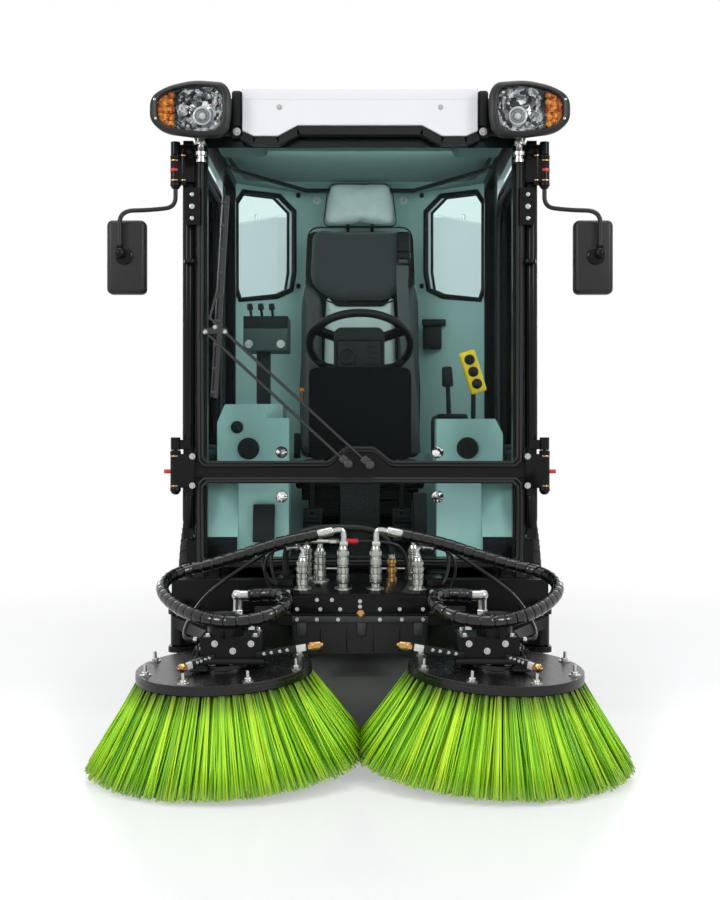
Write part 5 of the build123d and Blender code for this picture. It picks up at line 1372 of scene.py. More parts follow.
def woven(name, colour, rough, thread):
    """Upholstery cloth: crossing threads, a cloudy shade and a soft sheen."""
    cloth = bpy.data.materials.new(name)
    cloth.use_nodes = True
    nodes, links = cloth.node_tree.nodes, cloth.node_tree.links
    shader = nodes["Principled BSDF"]
    shader.inputs["Sheen Weight"].default_value = 0.25
    shader.inputs["Roughness"].default_value = rough
    shader.inputs["Specular IOR Level"].default_value = 0.2
    place = nodes.new("ShaderNodeTexCoord")
    warp = nodes.new("ShaderNodeTexWave")
    warp.inputs["Scale"].default_value = thread
    weft = nodes.new("ShaderNodeTexWave")
    weft.bands_direction = "Z"
    weft.inputs["Scale"].default_value = thread
    cross = nodes.new("ShaderNodeMath")
    cross.operation = "MULTIPLY"
    cloud = nodes.new("ShaderNodeTexNoise")
    cloud.inputs["Scale"].default_value = 18
    cloud.inputs["Detail"].default_value = 5
    tint = nodes.new("ShaderNodeMix")
    tint.data_type = "RGBA"
    tint.inputs[6].default_value = [*(c * 0.78 for c in colour), 1]
    tint.inputs[7].default_value = [*(min(1, c * 1.2) for c in colour), 1]
    dark = nodes.new("ShaderNodeMix")
    dark.data_type = "RGBA"
    dark.blend_type = "MULTIPLY"
    dark.inputs[0].default_value = 0.35
    bump = nodes.new("ShaderNodeBump")
    bump.inputs["Strength"].default_value = 0.4
    bump.inputs["Distance"].default_value = 0.001
    for texture in (warp, weft, cloud):
        links.new(place.outputs["Object"], texture.inputs["Vector"])
    links.new(warp.outputs["Fac"], cross.inputs[0])
    links.new(weft.outputs["Fac"], cross.inputs[1])
    links.new(cloud.outputs["Fac"], tint.inputs[0])
    links.new(tint.outputs[2], dark.inputs[6])
    links.new(cross.outputs["Value"], dark.inputs[7])
    links.new(dark.outputs[2], shader.inputs["Base Color"])
    links.new(cross.outputs["Value"], bump.inputs["Height"])
    links.new(bump.outputs["Normal"], shader.inputs["Normal"])
    return cloth


charcoal_cloth = woven("charcoal_seat_cloth", (0.045, 0.052, 0.054), 0.85, 420)
pale_cloth = woven("pale_seat_cloth", (0.47, 0.56, 0.54), 0.8, 420)
bolster_vinyl = powder_coat("bolster_vinyl", (0.035, 0.041, 0.042), 0.5, mottle=0.15, patch=12, peel=0.4,
                            peel_size=700, shine=0.35)


def foam_pad(name, outline, level, way, cover, fill, cap, body="front", *nodes_replaced):
    """A stuffed pad drawn from an outline: way is Y for a standing pad and Z for a lying one."""
    shape = bmesh.new()
    near, far_level = level
    rings = []
    middle_x = sum(p[0] for p in outline) / len(outline)
    middle_v = sum(p[1] for p in outline) / len(outline)
    for depth, pull in ((near, 22), (near + (far_level - near) * 0.14, 8),
                        (near + (far_level - near) * 0.4, 0), (far_level, 2)):
        ring = []
        for x, v in outline:
            out = Vector((x - middle_x, v - middle_v))
            out = out * max(0.2, 1 - pull / max(out.length, 1))
            px, pv = middle_x + out.x, middle_v + out.y
            ring.append(shape.verts.new(at(px, depth, pv) if way == "Y" else at(px, pv, depth)))
        rings.append(ring)
    bridge(shape, rings)
    shape.faces.new(rings[0])
    shape.faces.new(rings[-1])
    bmesh.ops.recalc_face_normals(shape, faces=shape.faces)
    mesh = bpy.data.meshes.new(name)
    shape.to_mesh(mesh)
    shape.free()
    piece = shown(name, mesh)
    even = piece.modifiers.new("even_faces", "REMESH")
    even.mode = "VOXEL"
    even.voxel_size = 0.008
    bpy.context.view_layer.update()
    piece.data = worked_out(piece)
    piece.modifiers.clear()
    start = [v.co.copy() for v in piece.data.vertices]
    stuffing = piece.modifiers.new("stuffing", "CLOTH")
    stuffing.settings.quality = 4
    stuffing.settings.use_pressure = True
    stuffing.settings.uniform_pressure_force = 4
    stuffing.settings.effector_weights.gravity = 0
    stuffing.settings.tension_stiffness = 25
    stuffing.settings.compression_stiffness = 25
    for frame_number in range(1, 21):
        bpy.context.scene.frame_set(frame_number)
    swollen = worked_out(piece)
    piece.modifiers.clear()
    bpy.context.scene.frame_set(1)
    for vertex, old, new in zip(piece.data.vertices, start, swollen.vertices):
        move = new.co - old
        if move.length > cap / 1000:
            move = move.normalized() * cap / 1000
        vertex.co = old + move
    bpy.data.meshes.remove(swollen)
    smoother = bmesh.new()
    smoother.from_mesh(piece.data)
    for _ in range(3):
        bmesh.ops.smooth_vert(smoother, verts=smoother.verts, factor=0.5, use_axis_x=True, use_axis_y=True,
                              use_axis_z=True)
    smoother.to_mesh(piece.data)
    smoother.free()
    piece.data.materials.clear()
    piece.data.materials.append(cover)
    piece.data.shade_smooth()
    finer = piece.modifiers.new("finer", "SUBSURF")
    finer.levels = 1
    finer.render_levels = 1
    if nodes_replaced:
        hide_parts(*nodes_replaced)
    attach(piece, body)
    return piece


UPPER_PANEL = [(-206, 1802), (206, 1802), (216, 1585), (165, 1530), (110, 1500), (-110, 1500), (-165, 1530),
               (-216, 1585)]
LOWER_PANEL = [(-150, 1535), (-105, 1496), (105, 1496), (150, 1535), (160, 1180), (150, 900), (-150, 900),
               (-160, 1180)]
HEAD_REST = [(-122, 1975), (122, 1975), (144, 1810), (-144, 1810)]
foam_pad("seat_upper_panel", rounded(UPPER_PANEL, 50), (970, 1040), "Y", charcoal_cloth, 0.7, 12, "front",
         "seat_back")
foam_pad("seat_lower_panel", rounded(LOWER_PANEL, 24), (982, 1040), "Y", pale_cloth, 0.7, 10)
foam_pad("head_rest", rounded(HEAD_REST, 30), (908, 978), "Y", pale_cloth, 0.8, 14)
for side, word in SIDES:
    bolster = [(side * 162, 1180), (side * 154, 900), (side * 158, 876), (side * 236, 880),
               (side * 240, 1150), (side * 234, 1558), (side * 222, 1586), (side * 160, 1532)]
    foam_pad("back_bolster_" + word, rounded(bolster, 26), (964, 1040), "Y", bolster_vinyl, 0.8, 8)
    cushion_edge = [(side * 158, 575), (side * 150, 990), (side * 236, 1000), (side * 236, 600),
                    (side * 215, 572)]
    foam_pad("cushion_bolster_" + word, rounded(cushion_edge, 24), (852, 775), "Z", bolster_vinyl, 0.8, 8)
SEAT_PAD = [(-150, 570), (150, 570), (146, 1000), (-146, 1000)]
foam_pad("seat_pad", rounded(SEAT_PAD, 30), (843, 775), "Z", charcoal_cloth, 0.7, 12, "front", "seat_cushion")
shell = bmesh.new()
outline = rounded([(-245, 862), (245, 862), (250, 1150), (215, 1798), (-215, 1798), (-250, 1150)], 34)
skin(shell, [(outline, 1030), (outline, 1062), ([(x * 0.94, 1320 + (z - 1320) * 0.97) for x, z in outline],
                                                1074)],
     close_first=True, close_last=True)
box_in(shell, (-244, 566, 746), (244, 1008, 786), 14, segments=3)
for x in (-50, 50):
    bead_in(shell, [(x, 1022, 1760), (x, 1015, 1800), (x, 975, 1826), (x, 955, 1840)], 7, 12, closed=False)
put("seat_shell", shell, dark_trim, "front", "seat_frame", 30)
# Piping is sewn into the seams round the upper panel and the head rest.
piping = bmesh.new()
bead_in(piping, [(x * 1.035, 982, 1650 + (z - 1650) * 1.035) for x, z in rounded(UPPER_PANEL, 50)], 3.2, 10)
bead_in(piping, [(x * 1.05, 950, 1892 + (z - 1892) * 1.05) for x, z in rounded(HEAD_REST, 30)], 2.4, 10)
put("seat_piping", piping, dark_trim, "front", "seat_frame", 50)
# Seat belt: webbing from its guide down beside the seat, with its buckle and the guide's ring.
belt_web = woven("seat_belt_webbing", (0.085, 0.098, 0.098), 0.7, 700)
belt = bmesh.new()
belt_fittings = bmesh.new()
# x, y and height of the webbing's middle
strip = [(172, 948, 1690), (173, 946, 1560), (180, 945, 1420), (192, 943, 1280), (206, 940, 1140),
         (216, 936, 1000), (222, 930, 880)]
BELT_HALF = 24
rows = []
for x, y, z in strip:
    rows.append([belt.verts.new(at(x + across, y + thick, z)) for across, thick in
                 ((-BELT_HALF, 0), (BELT_HALF, 0), (BELT_HALF, 1.6), (-BELT_HALF, 1.6))])
bridge(belt, rows)
belt.faces.new(rows[0])
belt.faces.new(rows[-1])
box_in(belt_fittings, (146, 935, 1672), (206, 962, 1700), 5)
box_in(belt_fittings, (150, 930, 1698), (204, 1010, 1782), 10, segments=3)
bead_in(belt_fittings, [(150, 944, 1672), (156, 940, 1652), (196, 940, 1652), (202, 944, 1672)], 5, 8,
        closed=False)
box_in(belt_fittings, (-262, 800, 860), (-236, 830, 960), 6)
put("seat_belt_fittings", belt_fittings, dark_trim, "front", "console_black")
put("seat_belt", belt, belt_web, "front", "seat_fabric")

# ---- Rear window seals and wall fixings ----------------------------------------------------------
# Black rubber frames with round clamping bolts hold the eight-sided rear panes. Two white rings cover
# the wall's bolts, and a moulded lining steps in under the roof.
REAR_WINDOW = [
    (63, 1656), (78, 1578), (150, 1545), (338, 1517), (356, 1560), (356, 1915), (320, 1968), (140, 1972),
    (63, 1915),
]
CHAMFER_TURN = Matrix.Rotation(-0.66242, 3, "Z")


def on_wall(side, along, up, depth):
    """A point on a corner panel, from its inner edge, its height and its depth inwards."""
    point = CHAMFER_TURN @ Vector((along, -depth, 0))
    return (side * (WALL_FLAT_HALF + point.x), REAR_WALL_Y + point.y, up)


frames = bmesh.new()
wall_bolts = bmesh.new()
for side in (-1, 1):
    for depth, radius in ((0, 12), (-44, 8)):
        bead_in(frames, [on_wall(side, s, z, depth) for s, z in REAR_WINDOW], radius)
    for s, z in ((44, 1986), (372, 1975), (44, 1597), (376, 1506)):
        rod_in(frames, on_wall(side, s, z, 0), on_wall(side, s, z, 9), 11, sides=20, edge=3)
put("rear_window_seals", frames, seal_rubber, "front", "hose_rubber", 50)
for x in (-186, 186):
    face_on = facing(x, REAR_WALL_Y, 1970)
    turned_in(wall_bolts, [(6, 4), (7, 6), (15, 5), (18, 2), (18, -2), (6, -2), (6, 4)], face_on, 28)
put("wall_bolt_rings", wall_bolts, white_block, "front", "body_white")
lining = bmesh.new()
skin(lining, [
    ([(-500, 1999), (500, 1999), (500, 1975), (-500, 1975)], 120),
    ([(-500, 1999), (500, 1999), (470, 1985), (-470, 1985)], 700),
    ([(-470, 1999), (470, 1999), (420, 1990), (-420, 1990)], 960),
], close_first=True, close_last=True)
box_in(lining, (-500, 60, 1940), (-330, 330, 1999), 22, segments=3)
box_in(lining, (330, 60, 1940), (500, 330, 1999), 22, segments=3)
lining_grey = powder_coat("roof_lining_felt", (0.115, 0.19, 0.178), 0.8, mottle=0.08, patch=6, peel=0.2,
                          peel_size=900)
put("roof_lining", lining, lining_grey, "front", "panel_grey")
rail_trim = bmesh.new()
bead_in(rail_trim, [(-486, 470, 1942), (-473, 600, 1956), (-224, 1078, 1978), (224, 1078, 1978),
                    (473, 600, 1956), (486, 470, 1942)], 9, 8, closed=False)
put("lining_piping", rail_trim, dark_trim, "front", "trim_grey")

# ---- Controls ------------------------------------------------------------------------------------
# The black pad behind the windscreen, the instrument pod with its screen, stalks and vents, the lever
# box with three levers, the joystick, the pedals and the yellow hand pendant with its buttons.
pad_black = powder_coat("matt_black_pad", (0.0022, 0.0022, 0.0024), 0.6, mottle=0.2, patch=14, peel=0.1,
                        peel_size=800, shine=0.08)
pad = bmesh.new()
skin(pad, [
    (rounded([(-181, 858), (181, 858), (181, 1185), (-181, 1185)], 34), 252),
    (rounded([(-181, 858), (181, 858), (181, 1185), (-181, 1185)], 34), 246),
    (rounded([(-178, 861), (178, 861), (178, 1182), (-178, 1182)], 32), 243),
], close_last=True)
put("front_pad", pad, pad_black, "front", "console_black")
controls = bmesh.new()
box_in(controls, (268, 1150, 1322), (346, 1186, 1438), 6)
box_in(controls, (262, 1130, 1420), (362, 1160, 1446), 4)
# The pod's front: a round dial, a middle block with slots, and a column of switches.
box_in(controls, (-84, 345, 1128), (78, 351, 1290), 8)
face_on = facing(-46, 345, 1230)
turned_in(controls, [(30, -2), (30, 5), (26, 7), (23, 3), (20, 2), (8, 2), (6, 6), (0.01, 6), (0.01, -2)],
          face_on, 32)
box_in(controls, (-10, 338, 1150), (26, 350, 1284), 5)
for z in (1168, 1188, 1208, 1228, 1248, 1268):
    box_in(controls, (38, 340, z - 6), (66, 350, z + 6), 2)
box_in(controls, (-78, 425, 1130), (72, 434, 1270), 3)
for side in (-1, 1):
    rod_in(controls, (side * 26, 462, 1195), (side * 150, 470, 1215), 5, 4)
    rod_in(controls, (side * 128, 469, 1212), (side * 165, 471, 1218), 8, 7, edge=2)
for x, z in ((-390, 898), (376, 900)):
    face_on = facing(x, 209, z)
    turned_in(controls, [(38, -4), (38, 5), (34, 8), (31, 8), (30, 2), (10, 1), (8, 5), (0.01, 6),
                         (0.01, -4)], face_on, 36)
    for turn in range(6):
        fin_place = face_on @ Matrix.Translation((0, (turn - 2.5) * 0.009, 0.003))
        rib_in(controls, (0.060, 0.003, 0.006), fin_place)
face_on = facing(-430, 209, 973)
turned_in(controls, [(22, -4), (22, 4), (18, 6), (12, 7), (11, 17), (0.01, 18), (0.01, -4)], face_on, 28)
for x in (-400, -360, -320):
    rod_in(controls, (x, 450, 1378), (x - 4, 440, 1412), 5)
    rod_in(controls, (x - 4, 440, 1408), (x - 6, 436, 1432), 12, 10, edge=4)
box_in(controls, (284, 424, 1006), (396, 796, 1026), 9, segments=3)
rod_in(controls, (330, 470, 1020), (324, 450, 1130), 9, 8)
rod_in(controls, (324, 450, 1126), (320, 440, 1200), 22, 19, edge=8)
rod_in(controls, (-352, 560, 1060), (-356, 540, 1140), 8)
rod_in(controls, (-356, 540, 1138), (-358, 535, 1185), 20, 17, edge=7)
box_in(controls, (-372, 168, 572), (-296, 180, 706), 5, Matrix.Rotation(radians(-14), 4, "X"))
rod_in(controls, (-334, 176, 560), (-334, 208, 600), 12)
for x, low in ((-170, 560), (150, 560)):
    box_in(controls, (x - 34, 300, low), (x + 34, 316, low + 130), 4, Matrix.Rotation(radians(-28), 4, "X"))
    rod_in(controls, (x, 322, low + 90), (x, 262, low + 250), 8)
box_in(controls, (188, 250, 560), (236, 330, 740), 6)
put("cab_controls", controls, dark_trim, "front", "console_black", 30)
lever_grey = powder_coat("lever_box_grey", (0.050, 0.072, 0.070), 0.5, mottle=0.12, patch=9, peel=0.2,
                         peel_size=900, shine=0.25)
grooves = bmesh.new()
for step in range(7):
    box_in(grooves, (-368, 164 + step * 4.2, 582 + step * 17), (-300, 170 + step * 4.2, 588 + step * 17), 1)
for x, low in ((-170, 560), (150, 560)):
    for step in range(6):
        box_in(grooves, (x - 30, 292, low + 22 + step * 18), (x + 30, 300, low + 28 + step * 18), 1,
               Matrix.Rotation(radians(-28), 4, "X"))
put("pedal_treads", grooves, hose_rubber, "front", "console_black")
lever_panel = bmesh.new()
box_in(lever_panel, (-424, 374, 1252), (-262, 381, 1336), 6, segments=3)
put("lever_panel", lever_panel, lever_grey, "front", "console_black")
panel_screws = bmesh.new()
for x in (-404, -288):
    hex_bolt(panel_screws, facing(x, 374, 1278), 16, 8)
put("lever_panel_screws", panel_screws, zinc, "front", "cylinder_steel")
screen_dark = powder_coat("display_glass", (0.01, 0.02, 0.022), 0.06, mottle=0.3, patch=8, peel=0.0)
screen = bmesh.new()
box_in(screen, (-68, 433, 1140), (62, 436.5, 1260), 2)
put("display", screen, screen_dark, "front", "tinted_glass")
pendant_yellow = powder_coat("pendant_yellow", (1.0, 0.62, 0.004), 0.38, mottle=0.06, patch=18, peel=0.2)
PENDANT_X, PENDANT_Z = 414, 1179
tilt = Matrix.Rotation(radians(-17), 4, "Y")
pendant = bmesh.new()
box_in(pendant, (PENDANT_X - 30, 411, PENDANT_Z - 79), (PENDANT_X + 30, 449, PENDANT_Z + 79), 9, tilt, 3)
box_in(pendant, (PENDANT_X - 25, 407, PENDANT_Z - 70), (PENDANT_X + 25, 413, PENDANT_Z + 70), 3, tilt)
put("pendant", pendant, pendant_yellow, "front", "console_black")
buttons = bmesh.new()
for along in (-46, 0, 46):
    point = tilt @ Vector((0, 0, along))
    centre = facing(PENDANT_X + point.x, 407, PENDANT_Z + point.z)
    turned_in(buttons, [(19, -3), (19, 2), (16, 3), (15, 6), (11, 9), (0.01, 10), (0.01, -3)], centre, 28)
put("pendant_buttons", buttons, dark_trim, "front", "console_black")
knob = bmesh.new()
rod_in(knob, (-215, 440, 1108), (-215, 440, 1122), 12, 10, edge=4)
rod_in(knob, (-215, 440, 1060), (-215, 440, 1108), 4)
put("orange_knob", knob, amber, "front", "lamp_red")
hub = bmesh.new()
wheel_place = facing(0, 500, 1285, turn=-33)
turned_in(hub, [(0.01, 12), (20, 11), (38, 7), (46, 0), (46, -8), (0.01, -8)], wheel_place, 40)
for turn in range(3):
    spoke = wheel_place @ Matrix.Rotation(radians(90 + 120 * turn), 4, "Z")
    rib_in(hub, (0.138, 0.040, 0.007), spoke @ Matrix.Translation((0.112, 0, -0.001)))
put("wheel_hub", hub, dark_trim, "steering_wheel", "console_black", 30)

# ---- Tyres ---------------------------------------------------------------------------------------
# Four wide road tyres: a moulded casing with stepped side walls and a bead guard, and a tread of two
# shoulder rows and two centre rows of blocks, each block cut through by a fine sipe.
AXLE_PLACES = {"front": 620, "rear": 2280}
WHEEL_MIDDLE = 550
WHEEL_HIGH = 360
TREAD_PITCHES = 44
tyre_rubber = powder_coat("road_tyre_rubber", (0.022, 0.022, 0.021), 0.78, mottle=0.35, patch=26, peel=0.4,
                          peel_size=500, shine=0.3)


def sideways(side, x, y, z):
    """A place in millimetres whose Z looks outward on its side."""
    return upright(side * x, y, z) @ Matrix.Rotation(side * radians(90), 4, "Y")


def tread_block(shape, place, across, turns, slant):
    """One tread block between turns, following the crown, with its shoulder edge dropped if it has one."""
    rows = []
    for turn in turns:
        row = []
        for number, x in enumerate(across):
            top = 359.2 - 3.6 * (x / 79) ** 2 if abs(x) < 84 else 337.5
            lean = turn + slant * (abs(x) - 45) / 360
            for radius in (346 if abs(x) < 84 else 330, top):
                row.append(shape.verts.new(place @ Vector((radius * cos(lean) / 1000,
                                                           radius * sin(lean) / 1000, x / 1000))))
        rows.append(row)
    first, last = rows
    made = []
    for number in range(len(across) - 1):
        a, b, c, d = 2 * number, 2 * number + 1, 2 * number + 3, 2 * number + 2
        made.append(shape.faces.new((first[b], last[b], last[c], first[c])))
        made.append(shape.faces.new((first[a], first[b], first[c], first[d])))
        made.append(shape.faces.new((last[a], last[d], last[c], last[b])))
    made.append(shape.faces.new((first[0], last[0], last[1], first[1])))
    made.append(shape.faces.new((first[-2], first[-1], last[-1], last[-2])))
    bmesh.ops.recalc_face_normals(shape, faces=made)
    tops = {e for f in made for e in f.edges if len(e.link_faces) == 2 and e.calc_face_angle(0) > 0.5}
    bmesh.ops.bevel(shape, geom=list(tops), offset=0.0012, segments=1, profile=0.5, affect="EDGES",
                    material=-1)


CASING = [(-83, 193), (-87, 203), (-97, 216), (-101.5, 232), (-103.2, 238), (-103.2, 243), (-104.5, 247),
          (-104.8, 277), (-103.6, 296), (-101.6, 300), (-101.6, 304), (-102.4, 307), (-100, 320), (-97, 332),
          (-88, 343), (-78, 348.5), (-56, 350), (-54, 347), (-52, 350), (-3, 351.5), (0, 348.5)]
for end, axle_y in AXLE_PLACES.items():
    for side, word in SIDES:
        wheel = end + "_" + word
        place = sideways(side, WHEEL_MIDDLE, axle_y, WHEEL_HIGH)
        tyre = bmesh.new()
        outline = CASING + [(-x, r) for x, r in CASING[-2::-1]]
        turned_in(tyre, [(r, x) for x, r in outline], place, 96)
        for number in range(TREAD_PITCHES):
            turn = 2 * pi * number / TREAD_PITCHES
            pitch = 2 * pi / TREAD_PITCHES
            for part in (-1, 1):
                offset = turn + (pitch / 2 if part > 0 else 0)
                tread_block(tyre, place, [part * x for x in (60, 80, 97)],
                            (offset + 0.13 * pitch, offset + 0.87 * pitch), 0)
                for low, high in ((0.06, 0.47), (0.51, 0.93)):
                    tread_block(tyre, place, [part * 5, part * 50],
                                (offset + low * pitch, offset + high * pitch), 20)
        for turn in range(72):
            spread = place @ Matrix.Rotation(2 * pi * turn / 72, 4, "Z")
            for part in (-1, 1):
                rib_in(tyre, (0.016, 0.002, 0.0024), spread @ Matrix.Translation((0.312, 0, part * 0.1006)))
        put("tyre_" + wheel + "_treaded", tyre, tyre_rubber, "wheel_" + wheel, None, 35, "tyre_" + wheel)

# ---- Rims ----------------------------------------------------------------------------------------
# Pressed and welded steel rims in silver lacquer, with a rolled edge, ten wheel nuts, a hub cap, a valve
# and a clipped balance weight.
rim_silver = powder_coat("rim_silver_lacquer", (0.40, 0.41, 0.42), 0.36, metallic=0.55, mottle=0.06, patch=14,
                         peel=0.05, coat=0.25)
for end, axle_y in AXLE_PLACES.items():
    for side, word in SIDES:
        wheel = end + "_" + word
        body = "wheel_" + wheel
        dress("rim_" + wheel, rim_silver, 2)
        place = sideways(side, WHEEL_MIDDLE, axle_y, WHEEL_HIGH)
        edges = bmesh.new()
        for part in (-1, 1):
            turned_in(edges, [(191, part * 78), (194, part * 81), (195, part * 85), (192, part * 88),
                              (187, part * 87), (183, part * 82), (181, part * 78),
                              (191, part * 78)], place, 96)
        turned_in(edges, [(171, 36), (168, 37), (165, 35), (120, -14), (118, -19), (122, -18), (168, 32),
                          (171, 36)],
                  place, 72)
        turned_in(edges, [(76, -52), (76, -42), (72, -38), (68, -38), (68, -52)], place, 48)
        put("rim_edges_" + wheel, edges, rim_silver, body, "rim_paint", 35)
        nuts = bmesh.new()
        for turn in range(10):
            spread = around(place, 2 * pi * (turn + 0.5) / 10, (0.084, 0, -0.0505))
            hex_bolt(nuts, spread, 22, 15)
            bmesh.ops.create_cone(nuts, cap_ends=True, segments=14, radius1=0.0058, radius2=0.0052,
                                  depth=0.022, matrix=spread @ Matrix.Translation((0, 0, 0.011)))
        for turn in range(6):
            spread = around(place, 2 * pi * turn / 6, (0.029, 0, -0.0125))
            hex_bolt(nuts, spread, 9, 5)
        put("wheel_nuts_" + wheel, nuts, zinc, body, "rim_paint", 35)
        cap = bmesh.new()
        turned_in(cap, [(0.01, -3), (20, -3.5), (22, -6), (22, -14), (0.01, -14)], place, 40)
        stem = place @ Matrix.Rotation(radians(18), 4, "Z")
        for wide, narrow, tall, offset in ((0.006, 0.004, 0.034, (0.160, 0, 0.052)),
                                           (0.0052, 0.0048, 0.012, (0.155, 0, 0.073))):
            valve_place = stem @ Matrix.Translation(offset) @ Matrix.Rotation(radians(-14), 4, "Y")
            bmesh.ops.create_cone(cap, cap_ends=True, segments=14, radius1=wide, radius2=narrow, depth=tall,
                                  matrix=valve_place)
        for step in range(3):
            spread = around(place, radians(200 + step * 6.4), (0.1795, 0, 0.076))
            rib_in(cap, (0.005, 0.018, 0.014), spread)
        put("wheel_caps_" + wheel, cap, dark_trim, body, "rim_paint", 35)

# ---- Door seals, latches and hinges --------------------------------------------------------------
# Each glazed door has a rubber frame round both panes, a pressed edge, a push-button latch with its lock
# under the pull, an inner release and two gas-strut balls.
DOOR_WINDOW = [(46, 905), (904, 905), (904, 1815), (840, 1879), (46, 1879)]
DOOR_LOW_WINDOW = [(46, 645), (145, 645), (240, 850), (46, 850)]
for side, word in SIDES:
    tubes = bmesh.new()
    for low, high in ((632, 742), (905, 1745)):
        rod_in(tubes, (side * 573, 9, low), (side * 573, 9, high), 17, sides=28, edge=3)
    put("door_tubes_" + word, tubes, black_coat, "door_" + word, "frame_black", 30)
    seals = bmesh.new()
    for outline in (DOOR_WINDOW, DOOR_LOW_WINDOW):
        for x in (589, 558):
            bead_in(seals, [(side * x, y, z) for y, z in rounded(outline, 26, 4)], 9, 8)
    bead_in(seals, [(side * 560, y, z) for y, z in rounded(
        [(12, 612), (164, 612), (300, 812), (938, 812), (938, 1840), (866, 1913), (12, 1913)], 30, 4)], 7, 8)
    put("door_seals_" + word, seals, seal_rubber, "door_" + word, "hose_rubber", 50)
    latch = bmesh.new()
    box_in(latch, (side * 589, 786, 836), (side * 597, 940, 900), 5)
    box_in(latch, (side * 596, 800, 842), (side * 604, 832, 856), 3)
    box_in(latch, (side * 540, 800, 840), (side * 558, 930, 884), 6)
    rod_in(latch, (side * 532, 905, 862), (side * 532, 815, 862), 8)
    rod_in(latch, (side * 532, 905, 862), (side * 556, 905, 862), 8)
    rod_in(latch, (side * 532, 815, 862), (side * 556, 815, 862), 8)
    put("door_latch_" + word, latch, dark_trim, "door_" + word, "frame_black")
    lock = bmesh.new()
    rod_in(lock, (side * 594, 916, 849), (side * 601, 916, 849), 10, 9, edge=1.5)
    for y, z in ((794, 844), (794, 892), (932, 892)):
        rod_in(lock, (side * 595, y, z), (side * 599, y, z), 5, 4, 12, edge=1)
    for y, z in ((60, 624), (920, 836)):
        rod_in(lock, (side * 588, y, z), (side * 593, y, z), 7, 6, 14, edge=1.5)
    put("door_lock_" + word, lock, zinc, "door_" + word, "rod_chrome")

# ---- Roof and rear wall details ------------------------------------------------------------------
# The white roof moulding has pressed ribs, a rubber rain gutter, a capped beacon socket and a row of screws
# along each side. The wall behind the driver carries a black ventilation grille.
roof = bmesh.new()
for side in (-1, 1):
    for x in (150, 350):
        box_in(roof, (side * (x - 34), 200, 2078), (side * (x + 34), 1180 if x < 200 else 1040, 2095), 7,
               segments=3)
box_in(roof, (-70, 560, 2078), (70, 800, 2094), 7, segments=3)
put("roof_ribs", roof, body_white, "front", "body_white", 30)
gutter = bmesh.new()
bead_in(gutter, [(-590, 125, 2014), (-590, 1015, 2014), (-253, 1298, 2014), (253, 1298, 2014),
                 (590, 1015, 2014), (590, 125, 2014)], 7, 8, closed=False)
turned_in(gutter, [(0.01, 17), (24, 16), (30, 12), (32, 0), (40, -2), (40, -8), (0.01, -8)],
          upright(-440, 170, 2086), 36)
put("roof_gutter", gutter, seal_rubber, "front", "hose_rubber", 50)
roof_screws = bmesh.new()
for side in (-1, 1):
    for y in (160, 440, 720, 980):
        hex_bolt(roof_screws, upright(side * 540, y, 2088), 12, 6)
put("roof_screws", roof_screws, zinc, "front", "cylinder_steel")
grille = bmesh.new()
for low, high in (((-200, 1288, 640), (200, 1297, 660)), ((-200, 1288, 900), (200, 1297, 920)),
                  ((-200, 1288, 640), (-180, 1297, 920)), ((180, 1288, 640), (200, 1297, 920))):
    box_in(grille, low, high, 3)
for z in range(676, 900, 22):
    box_in(grille, (-186, 1289, z), (186, 1296, z + 9), 2, Matrix.Rotation(radians(25), 4, "X"))
box_in(grille, (-186, 1288, 655), (186, 1290.5, 905), 0.5)
put("rear_wall_grille", grille, dark_trim, "front", "trim_grey")

# ---- Rear frame fittings -------------------------------------------------------------------------
# The bolts of the slewing ring, the rails and the rear beam, the rubber edging of the mudguards, and the
# zinc-plated hydraulic pipes in their moulded clamps.
fittings = bmesh.new()
for turn in range(16):
    angle = 2 * pi * turn / 16
    if sin(angle) < 0.4:
        continue
    spot = upright(205 * cos(angle), 1450 + 205 * sin(angle), 520)
    hex_bolt(fittings, spot, 17, 10)
for side in (-1, 1):
    for y in (1760, 1900, 2500, 2620, 2980):
        for z in (446, 494):
            spot = sideways(side, 280, y, z)
            hex_bolt(fittings, spot, 16, 9)
    for x in (300, 520):
        for z in (425, 480):
            spot = facing(side * x, 3061, z, turn=-90)
            if not 425 < x < 545:
                hex_bolt(fittings, spot, 16, 8)
    for y in (2010, 2550):
        rod_in(fittings, (side * 350, y, 470), (side * 350, y + 1, 496), 4)
put("rear_frame_bolts", fittings, zinc, "rear", "cylinder_steel")
guard_edges = bmesh.new()
for side in (-1, 1):
    for x in (442, 663):
        arc = []
        for step in range(25):
            angle = radians(32 + 116 * step / 24)
            arc.append((side * x, 2280 + 412 * cos(angle), 360 + 412 * sin(angle)))
        bead_in(guard_edges, arc, 7, 8, closed=False)
put("mudguard_edging", guard_edges, seal_rubber, "rear", "hose_rubber", 50)
pipes = bmesh.new()
clamps = bmesh.new()
for side in (-1, 1):
    for level in (0, 18, 36):
        bead_in(pipes, [(side * 290, 1900, 446 + level), (side * 290, 2440, 446 + level),
                        (side * 300, 2500, 452 + level),
                        (side * 300, 2940, 452 + level)], 6, 10, closed=False)
    for y in (1960, 2200, 2400, 2640, 2860):
        x = 290 if y < 2450 else 300
        box_in(clamps, (side * (x - 11), y - 14, 436 + (0 if x < 295 else 6)),
               (side * (x + 9), y + 14, 492 + (0 if x < 295 else 6)), 3)
put("rear_pipes", pipes, zinc, "rear", "cylinder_steel", 50)
put("rear_pipe_clamps", clamps, dark_trim, "rear", "trim_grey")

